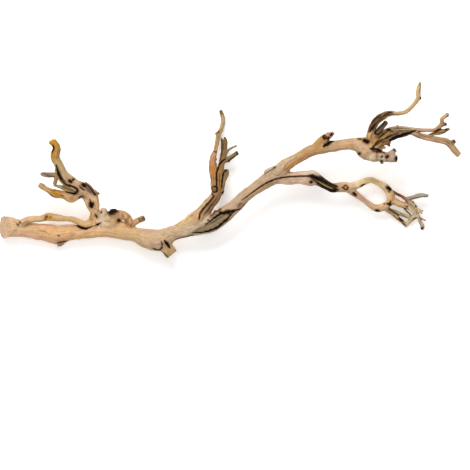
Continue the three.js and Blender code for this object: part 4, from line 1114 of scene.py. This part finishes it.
CLUSTER_MARKS = [
    stain([(399.6, 218.4, 1.6), (402.6, 221, 1.8)], "#5A3A24", 0.7, 0.6),
    crack([(407, 202.6, 0.3), (410.6, 206.4, 0.6), (413, 211, 0.4)], 0.7, 0.4),
    crack([(409.6, 203, 0.3), (413, 207, 0.5), (415.6, 212, 0.3)], 0.6, 0.4),
    crack([(404.6, 204.8, 0.4), (408, 208.6, 0.6), (410.6, 213.4, 0.4)], 0.7, 0.4),
    crack([(408, 219.4, 0.3), (411.4, 216, 0.5), (414.4, 213.4, 0.3)], 0.5, 0.4),
    crack([(396, 207.4, 0.3), (401, 210.6, 0.5), (405.6, 213.6, 0.3)], 0.5, 0.4),
    crack([(418.6, 214, 0.3), (420.4, 219.6, 0.5), (421.4, 224, 0.3)], 0.4, 0.4),
    bulge(398.4, 218.4, 2.0, 0.6),
    bulge(414.4, 207, 1.8, 0.6),
    bulge(409.4, 200.4, 1.8, 0.5),
    pit(401.3, 219.5, 2.6, 1.7, -40, 0.7, 0.97),
    pit(413.5, 201.8, 1.0, 0.9, 60, 0.4, 0.9),
    pit(415.9, 206.3, 1.1, 0.9, 40, 0.4, 0.9),
    crack([(420.8, 228.4, 0.9), (422.2, 229, 1.3), (423.2, 227.8, 0.7)], 0.3, 0.97),
    stain([(422.6, 225.8, 1.6), (423, 226.6, 1.5)], "#A8988C", 0.7),
    crack([(413.2, 221, 0.5), (414.7, 219.3, 1.3), (416.4, 218, 0.6)], 0.4, 0.97),
    crack([(392.8, 191.4, 0.7), (397, 193.8, 0.9), (401.6, 196.6, 0.5)], 0.5, 0.7),
    stain([(402, 198, 1.6), (405, 200.4, 2), (407.4, 202.4, 1.5)], "#9A6238", 0.75),
    pit(407.3, 206.4, 1.2, 0.8, 10, 0.8, 0.85),
    crack([(399.4, 207.6, 0.5), (402.6, 208.8, 1.2), (406, 208.6, 0.6)], 1.0, 0.95),
    stain([(391, 203.4, 1.2), (394, 204, 1)], "#6E5030", 0.6),
    crack([(387, 207.6, 0.9), (391.6, 210.4, 0.8), (396, 213.4, 0.7), (399.4, 215.6, 0.7)], 0.7, 0.92),
    crack([(400.6, 213.2, 0.4), (404.4, 216, 0.6), (407.4, 217.6, 0.4)], 0.5, 0.7),
    crack([(405.6, 210, 0.5), (410.8, 214.8, 0.5)], 0.3, 0.85),
    crack([(393.6, 215.4, 0.4), (396.6, 218.2, 0.6), (399, 219.2, 0.4)], 0.5, 0.7),
    crack([(402.8, 223, 0.5), (405, 225, 0.8)], 0.4, 0.8),
    stain([(416.4, 209.6, 1.2), (417.6, 213.6, 1)], "#A8803C", 0.6),
    pit(423.6, 210.8, 0.9, 0.7, 20, 0.2, 0.7),
    crack([(419.4, 217.2, 0.4), (423, 219.2, 0.5)], 0.2, 0.7),
    crack([(410, 199.2, 0.3), (418, 197.6, 0.4), (427, 196.6, 0.3)], 0.4, 0.4),
]
grow("twig_cluster", TWIG_CLUSTER, CLUSTER_COLOURS, grey_wood, CLUSTER_MARKS)


# The skin: the wood grew as one, so one skin is drawn over all limbs, its forks are rounded, the blasted
# grain is raised on it, and the cracks and hollows are sunk in it. Then it is parted at the forks, one closed
# piece for each solid. Sizes are in metres where no comment says otherwise.
VOXEL = 0.0006
ROUNDED_FROM = 0.0012  # radius under which a twig is hardly rounded
ROUNDED_OVER = 0.005  # how much thicker a limb is that is rounded in full
LEAST_ROUNDING = 0.08
PASS_SHARE = 0.6  # share of the way to its neighbours' middle that a vertex moves in a rounding pass
ROUNDING_PASSES = 14
FORK_START = 1.3  # where a fork's rounding starts, in reaches
FORK_REACH = 0.6  # one reach, as a share of the limb's radius
FORK_FROM = 0.002  # radius under which forks keep their edges
FORK_OVER = 0.004
FORK_PASSES = 70
COLOUR_PASSES = 110
BATCH = 4000  # points that are matched to the axes at a time
MM = 1000  # millimetres in a metre, because the grain is laid out in millimetres
LIMBS_APART = 41.0  # mm by which the grain moves on from limb to limb, so that no two have the same pattern

limb_of = np.concatenate([np.full(len(a[1]), i) for i, a in enumerate(axes)])
piece_of = np.array([a[0] for a in axes])[limb_of]
axis_points, axis_radii, axis_along, axis_across, axis_up, axis_tint = (
    np.concatenate([a[i] for a in axes]) for i in range(1, 7)
)


def read_rows(items, field, width, kind=np.float32):
    """One field of all of a mesh's items, a row of numbers for each."""
    flat = np.empty(len(items) * width, kind)
    items.foreach_get(field, flat)
    return flat.reshape(-1, width)


def lay_on(mesh, name, kind, field, values):
    """Lays values on a mesh's vertices under a name that nodes can read."""
    layer = mesh.attributes.new(name, kind, "POINT")
    layer.data.foreach_set(field, values.astype(np.float32).ravel())


def one_object(name, meshes):
    """One object holding several meshes' faces."""
    vertices, faces, start = [], [], 0
    for mesh in meshes:
        vertices.append(read_rows(mesh.vertices, "co", 3))
        faces += [[v + start for v in p.vertices] for p in mesh.polygons]
        start += len(mesh.vertices)
    joined = bpy.data.meshes.new(name)
    joined.from_pydata(np.concatenate(vertices).tolist(), [], faces)
    obj = bpy.data.objects.new(name, joined)
    bpy.context.collection.objects.link(obj)
    return obj


rough = one_object("limbs", swept_limbs)
remesh = rough.modifiers.new("skin", "REMESH")
remesh.mode = "VOXEL"
remesh.voxel_size = VOXEL
skin = plain_mesh(rough)
bpy.data.objects.remove(rough)

count = len(skin.vertices)
position = read_rows(skin.vertices, "co", 3).astype(float)
edges = read_rows(skin.edges, "vertices", 2, np.int32)
quads = read_rows(skin.loops, "vertex_index", 1, np.int32).reshape(-1, 4)
both_ways = np.concatenate([edges, edges[:, ::-1]])
valence = np.maximum(np.bincount(both_ways[:, 0], minlength=count), 1)


def neighbour_mean(values):
    """The mean of each vertex's neighbours."""
    here, there = both_ways.T
    columns = [np.bincount(here, values[there, i], count) for i in range(values.shape[1])]
    return np.stack(columns, axis=1) / valence[:, None]


def eased(values, share, passes):
    """Values drawn towards their neighbours' mean, by a share of the way in each pass."""
    for _ in range(passes):
        values = values + share * (neighbour_mean(values) - values)
    return values


def nearest_axis(points):
    """The axis sample whose limb each point lies on, and how much farther off the next limb is."""
    found = np.empty(len(points), np.int64)
    lead = np.empty(len(points))
    centre2 = (axis_points**2).sum(1)
    starts = np.concatenate([[0], np.nonzero(np.diff(limb_of))[0] + 1])
    for start in range(0, len(points), BATCH):
        part = points[start : start + BATCH]
        gap2 = (part**2).sum(1)[:, None] + centre2[None] - 2 * part @ axis_points.T
        gap = np.sqrt(np.maximum(gap2, 0)) - axis_radii[None]
        found[start : start + BATCH] = np.argmin(gap, axis=1)
        first_two = np.partition(np.minimum.reduceat(gap, starts, axis=1), 1, axis=1)
        lead[start : start + BATCH] = first_two[:, 1] - first_two[:, 0]
    return found, lead


sample, lead = nearest_axis(position)
girth = axis_radii[sample]
rounding = np.clip((girth - ROUNDED_FROM) / ROUNDED_OVER, LEAST_ROUNDING, 1.0)[:, None]
position = eased(position, rounding * PASS_SHARE, ROUNDING_PASSES)
fork = np.clip(FORK_START - lead / (FORK_REACH * girth), 0, 1)[:, None]
fork = fork * np.clip((girth - FORK_FROM) / FORK_OVER, 0, 1)[:, None]
position = eased(position, PASS_SHARE * fork, FORK_PASSES)

from_axis = position - axis_points[sample]
grain = np.stack(
    [
        (from_axis * axis_across[sample]).sum(1) * MM,
        (from_axis * axis_up[sample]).sum(1) * MM,
        axis_along[sample] * MM + limb_of[sample] * LIMBS_APART,
    ],
    axis=1,
)
tint = eased(axis_tint[sample], 1.0, COLOUR_PASSES)

# The blasted relief: hard ridges stand up where the soft wood between them is blown away, on limbs that are
# lumpy and knobby themselves. The finest of real ridges are too fine to show and are drawn this coarse.
RIDGE_DEPTH = 0.0011
LUMP_SHARE = 0.75  # how far lumps stand out, as a share of the limb's radius
KNOB = 0.0011
SWELL = 0.00035  # what the rounding takes off the limbs, given back
STOUTEST = 0.0048  # radius past which lumps grow no more
RELIEF_WAVES = {  # mm from one to the next across the grain, how they are drawn along it, and detail
    "ridges": (50 / 21, (1.0, 1.0, 0.06), 4.0),  # 21 in 50 mm
    "lumps": (100 / 11, (1.0, 1.0, 0.45), 3.0),  # 11 in 100 mm
    "knobs": (10 / 3, (1.0, 1.0, 0.55), 2.0),  # 3 in 10 mm
}
RELIEF_SIZES = {"Ridge Depth": RIDGE_DEPTH, "Lump Share": LUMP_SHARE, "Knob": KNOB, "Swell": SWELL}


def relief_tree():
    """Raises lumps, knobs and the long ridges that blasting leaves, along each limb's grain."""
    tree, source = start_tree("blasted relief", {**dict.fromkeys(RELIEF_SIZES, "Float"), "Wood": "Material"})
    named = "GeometryNodeInputNamedAttribute"
    grain_at = add_node(tree, named, {"data_type": "FLOAT_VECTOR"}, {"Name": "grain"}).outputs["Attribute"]
    girth_at = add_node(tree, named, {"data_type": "FLOAT"}, {"Name": "girth"}).outputs["Attribute"]
    sockets = {"girth": girth_at, **{size: source[size] for size in RELIEF_SIZES}}
    for label, (apart, stretch, detail) in RELIEF_WAVES.items():
        along = add_node(tree, "ShaderNodeVectorMath", {"operation": "MULTIPLY"}, {0: grain_at, 1: stretch})
        noise = {"Vector": along.outputs[0], "Scale": 1 / apart, "Detail": detail}
        wave = add_node(tree, "ShaderNodeTexNoise", links=noise).outputs["Fac"]
        level = add_node(tree, "ShaderNodeMath", {"operation": "SUBTRACT"}, {0: wave, 1: 0.5})
        sockets[label] = level.outputs[0]
    for label, thin, thick, least, most in [  # from thin limbs to thick ones
        ("ridge share", 0.0008, 0.006, 0.35, 1.6),
        ("swell share", 0.0015, 0.006, 0.1, 1.0),
    ]:
        by_girth = {"Value": girth_at, "From Min": thin, "From Max": thick, "To Min": least, "To Max": most}
        sockets[label] = add_node(tree, "ShaderNodeMapRange", links=by_girth).outputs["Result"]
    for label, operation, *inputs in [
        ("ridge size", "MULTIPLY", "Ridge Depth", "ridge share"),
        ("ridge", "MULTIPLY", "ridges", "ridge size"),
        ("stoutness", "MINIMUM", "girth", STOUTEST),
        ("lump size", "MULTIPLY", "Lump Share", "stoutness"),
        ("lump", "MULTIPLY", "lumps", "lump size"),
        ("knobby", "MULTIPLY_ADD", "knobs", "Knob", "lump"),
        ("ridged", "ADD", "knobby", "ridge"),
        ("height", "MULTIPLY_ADD", "Swell", "swell share", "ridged"),
    ]:
        links = {i: sockets.get(value, value) for i, value in enumerate(inputs)}
        sockets[label] = add_node(tree, "ShaderNodeMath", {"operation": operation}, links).outputs[0]
    outwards = add_node(tree, "GeometryNodeInputNormal").outputs[0]
    offset = add_node(
        tree, "ShaderNodeVectorMath", {"operation": "SCALE"}, {0: outwards, "Scale": sockets["height"]}
    )
    raised = add_node(
        tree, "GeometryNodeSetPosition", links={"Geometry": source["Geometry"], "Offset": offset.outputs[0]}
    )
    return end_tree(tree, raised.outputs["Geometry"], source["Wood"])


skin.vertices.foreach_set("co", position.astype(np.float32).ravel())
lay_on(skin, "grain", "FLOAT_VECTOR", "vector", grain)
lay_on(skin, "girth", "FLOAT", "value", girth)
whole = bpy.data.objects.new("whole skin", skin)
bpy.context.collection.objects.link(whole)
relief = whole.modifiers.new("relief", "NODES")
relief.node_group = relief_tree()
set_inputs(relief, {**RELIEF_SIZES, "Wood": pale_wood})
raised = plain_mesh(whole)
bpy.data.objects.remove(whole)
position = read_rows(raised.vertices, "co", 3).astype(float)
facing = read_rows(raised.vertex_normals, "vector", 3).astype(float)

# Every piece's marks are laid on what faces up: stains colour the wood, bulges lift it, cracks and pits are
# sunk in it and go black with painted shade, with a brown edge. Widths are in plan steps, and reaches in a
# mark's half widths.
SEED = 7
RAGGED_WAVES = 9  # how many waves make the marks' edges ragged
RAGGED_PITCH = (0.6, 2.0)  # radians a plan step
RAGGED_PHASE = 6.3
RAGGED_GAIN = 1.5
MARK_MARGIN = (2.4, 0.5)  # how far round a mark its wood is looked for, in half widths, and plan steps more
LEAST_FACING = -0.1  # the least upward part of the facing of wood that takes a mark
WALL_REACH = 1.4  # where the wall of a crack, pit or bulge starts
EDGE_REACH = 2.2  # where the brown edge starts
EDGE_SHARE = 0.4
EDGE_COLOUR = np.array(linear("#8A5A2E"))
DEEPEST = 0.7  # of the limb's radius


def reach_of(path, points):
    """Distance of each point to a path of straight stretches, as a share of the path's half width there."""
    best = np.full(len(points), np.inf)
    for a, b in zip(path, path[1:]):
        run = (b - a)[:2]
        t = np.clip(((points - a[:2]) @ run) / max(run @ run, 1e-9), 0, 1)
        off = np.linalg.norm(points - a[:2] - t[:, None] * run, axis=1)
        best = np.minimum(best, off / (a[2] + (b[2] - a[2]) * t))
    return best


painted_shade = np.zeros(count)
sunk = np.zeros(count)
label = piece_of[sample]
plan_xy = np.stack(
    [position[:, 0] / PLAN_STEP + PLAN_CENTRE[0], PLAN_CENTRE[1] - position[:, 1] / PLAN_STEP], axis=1
)
random = np.random.default_rng(SEED)
turns = random.uniform(0, 2 * math.pi, RAGGED_WAVES)
waves = np.stack([np.cos(turns), np.sin(turns)]) * random.uniform(*RAGGED_PITCH, RAGGED_WAVES)
phases = random.uniform(0, RAGGED_PHASE, RAGGED_WAVES)
ragged = np.sin(plan_xy @ waves + phases).mean(1) * RAGGED_GAIN
for index, name in enumerate(piece_names):
    for mark in piece_marks[name]:
        path = mark["path"]
        margin = MARK_MARGIN[0] * path[:, 2].max() + MARK_MARGIN[1]
        low, high = path[:, :2].min(0) - margin, path[:, :2].max(0) + margin
        inside = ((plan_xy > low) & (plan_xy < high)).all(1)
        near = np.nonzero((label == index) & (facing[:, 2] > LEAST_FACING) & inside)[0]
        reach = reach_of(path, plan_xy[near]) + mark["ragged"] * ragged[near]
        if "colour" in mark:
            soft = np.clip((1.0 - reach) / mark["edge"] + 0.5, 0, 1) * mark["dark"]
            tint[near] += soft[:, None] * (np.array(linear(mark["colour"])) - tint[near])
            continue
        weight = np.clip(WALL_REACH - reach, 0, 1)
        weight = weight * weight * (3 - 2 * weight)
        if mark["depth"] < 0:
            position[near] -= facing[near] * (weight * mark["depth"] * PLAN_STEP)[:, None]
            continue
        depth = np.minimum(mark["depth"] * PLAN_STEP, DEEPEST * girth[near])
        # the crack or pit is sunk, and its painted shade is laid in it
        sunk[near] = np.maximum(sunk[near], weight * depth)
        painted_shade[near] = np.maximum(painted_shade[near], weight * mark["dark"])
        warm = np.clip(EDGE_REACH - reach, 0, 1) * EDGE_SHARE * mark["dark"]
        tint[near] = np.minimum(tint[near], tint[near] + warm[:, None] * (EDGE_COLOUR - tint[near]))
position[:, 2] -= sunk

# Short drying cracks lie along the grain on the sides and the underside, in places drawn with the same seed.
# They are sunk in and blackened with painted shade.
SIDE_CRACKS = 150
CRACK_LENGTHS = (3.0, 13.0)  # half length, mm
CRACK_WIDTHS = (0.4, 0.9)  # half width, mm
CRACK_WINDOW = 16  # mm along the limb in which a crack is looked for
CRACK_DEPTH = 0.0012
CRACK_DARK = 0.85
CRACK_RAGGED = 0.3
CRACK_WALL = 1.3  # where a crack's wall starts, in its half sizes
CRACK_GIRTH = 0.0025  # thinner twigs have none
START_FACING = 0.2  # the most that the wood faces up where a crack starts
CRACK_FACING = 0.3  # and the most that it faces up where a crack runs
SOFTENED_FROM = 0.0002  # cracks and pits deeper than this have their walls softened
SOFTENING_SHARE = 0.35
SOFTENING_PASSES = 2
hidden = np.nonzero((facing[:, 2] < START_FACING) & (girth > CRACK_GIRTH))[0]
side_sunk = np.zeros(count)
for seed in random.choice(hidden, SIDE_CRACKS, replace=False):
    half_length, half_width = random.uniform(*CRACK_LENGTHS), random.uniform(*CRACK_WIDTHS)
    same_limb = limb_of[sample] == limb_of[sample[seed]]
    near = np.nonzero(same_limb & (np.abs(grain[:, 2] - grain[seed, 2]) < CRACK_WINDOW))[0]
    off = grain[near] - grain[seed]
    reach = np.hypot(off[:, 2] / half_length, np.hypot(off[:, 0], off[:, 1]) / half_width)
    reach = reach + CRACK_RAGGED * ragged[near]
    weight = np.clip(CRACK_WALL - reach, 0, 1) * (facing[near, 2] < CRACK_FACING)
    side_sunk[near] = np.maximum(side_sunk[near], CRACK_DEPTH * weight)
    painted_shade[near] = np.maximum(painted_shade[near], CRACK_DARK * weight)
position -= side_sunk[:, None] * facing
softened = (sunk + side_sunk > SOFTENED_FROM)[:, None]
position = eased(position, SOFTENING_SHARE * softened, SOFTENING_PASSES)

# Hollows between the ridges get painted shade: they are a little darker than the wood round them.
HOLLOW_FROM = 0.12  # how far a vertex lies under its neighbours, in voxels
HOLLOW_GAIN = 2.0
HOLLOW_SHADE = 0.6
hollow = ((neighbour_mean(position) - position) * facing).sum(1) / VOXEL
painted_shade = np.maximum(painted_shade, np.clip((hollow - HOLLOW_FROM) * HOLLOW_GAIN, 0, HOLLOW_SHADE))

# The sawn face is flat with a worn rim, and nothing goes below the floor.
BUTT_REACH = 0.03
RIM_WIDTH = 0.0016
RIM_SHARE = 0.5
RIM_PASSES = 5
cut_middle, cut_facing = np.array(BUTT_CUT), np.array(BUTT_FACING)
past = (position - cut_middle) @ cut_facing
at_butt_end = position[:, 0] < BUTT_CUT[0] + BUTT_REACH
at_butt = (past > 0) & at_butt_end
position[at_butt] -= past[at_butt, None] * cut_facing
sawn_rim = (np.abs((position - cut_middle) @ cut_facing) < RIM_WIDTH) & at_butt_end
position = eased(position, RIM_SHARE * sawn_rim[:, None], RIM_PASSES)
position[:, 2] = np.maximum(position[:, 2], 0.0)

SETTLING_ROUNDS = 3


def settled_labels(face_label):
    """Gives every stray patch of faces to the piece round it, so that each piece is in one part."""
    keys = np.sort(np.stack([quads, np.roll(quads, -1, axis=1)], axis=2), axis=2).reshape(-1, 2)
    order = np.lexsort((keys[:, 1], keys[:, 0]))
    same = (keys[order][1:] == keys[order][:-1]).all(1)
    sides = np.stack([order[:-1][same] // 4, order[1:][same] // 4], axis=1)
    for _ in range(SETTLING_ROUNDS):
        linked = sides[face_label[sides[:, 0]] == face_label[sides[:, 1]]]
        root = np.arange(len(quads))
        while True:
            least = np.minimum(root[linked[:, 0]], root[linked[:, 1]])
            before = root.copy()
            np.minimum.at(root, linked[:, 0], least)
            np.minimum.at(root, linked[:, 1], least)
            root = root[root]
            if (root == before).all():
                break
        names, group, sizes = np.unique(root, return_inverse=True, return_counts=True)
        group_label = face_label[names]
        main = [np.argmax(np.where(group_label == i, sizes, 0)) for i in range(len(piece_names))]
        stray = ~np.isin(group, main)
        if not stray.any():
            break
        touching = sides[stray[sides[:, 0]] != stray[sides[:, 1]]]
        inner = np.where(stray[touching[:, 0]], touching[:, 0], touching[:, 1])
        outer = np.where(stray[touching[:, 0]], touching[:, 1], touching[:, 0])
        for g in np.unique(group[inner]):
            face_label[group == g] = np.bincount(face_label[outer[group[inner] == g]]).argmax()
    return face_label


def open_rims(faces):
    """The loops of edges that bound some faces, each in the order that a closing face would take."""
    halves = {}
    for a, b in np.stack([faces, np.roll(faces, -1, axis=1)], axis=2).reshape(-1, 2).tolist():
        if (b, a) in halves:
            del halves[(b, a)]
        else:
            halves[(a, b)] = True
    after = {}
    for a, b in halves:
        after.setdefault(b, []).append(a)
    rims = []
    while after:
        path = [next(iter(after))]
        while True:
            follow = after[path[-1]].pop()
            if not after[path[-1]]:
                del after[path[-1]]
            if follow in path:
                start = path.index(follow)
                rims.append(path[start:])
                path = path[: start + 1]
                if start == 0 or follow not in after:
                    break
            else:
                path.append(follow)
    return rims


# A face goes to the piece that most of its corners lie on, and the cut at each fork is closed by a flat fan.
ordered = np.sort(label[quads], axis=1)
face_label = settled_labels(np.where(ordered[:, 1] == ordered[:, 2], ordered[:, 1], ordered[:, 3]))
for index, name in enumerate(piece_names):
    faces = quads[face_label == index]
    used, local = np.unique(faces, return_inverse=True)
    place_of = {v: i for i, v in enumerate(used.tolist())}
    rows, places, caps = used.tolist(), position[used].tolist(), []
    for rim in open_rims(faces):
        caps += [(place_of[a], place_of[b], len(places)) for a, b in zip(rim, rim[1:] + rim[:1])]
        places.append(position[rim].mean(0).tolist())
        rows.append(rim[0])
    mesh = bpy.data.meshes.new(name)
    mesh.from_pydata(places, [], local.reshape(-1, 4).tolist() + caps)
    mesh.polygons.foreach_set("use_smooth", [True] * len(faces) + [False] * len(caps))
    lay_on(mesh, "grain", "FLOAT_VECTOR", "vector", grain[rows])
    lay_on(mesh, "painted_shade", "FLOAT", "value", painted_shade[rows])
    lay_on(mesh, "tint", "FLOAT_COLOR", "color", np.hstack([tint[rows], np.ones((len(rows), 1))]))
    mesh.materials.append(piece_woods[name])
    mesh.update()
    piece = bpy.data.objects.new(name + "_wood", mesh)
    bpy.context.collection.objects.link(piece)
    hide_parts(name)
    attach(piece, "root")
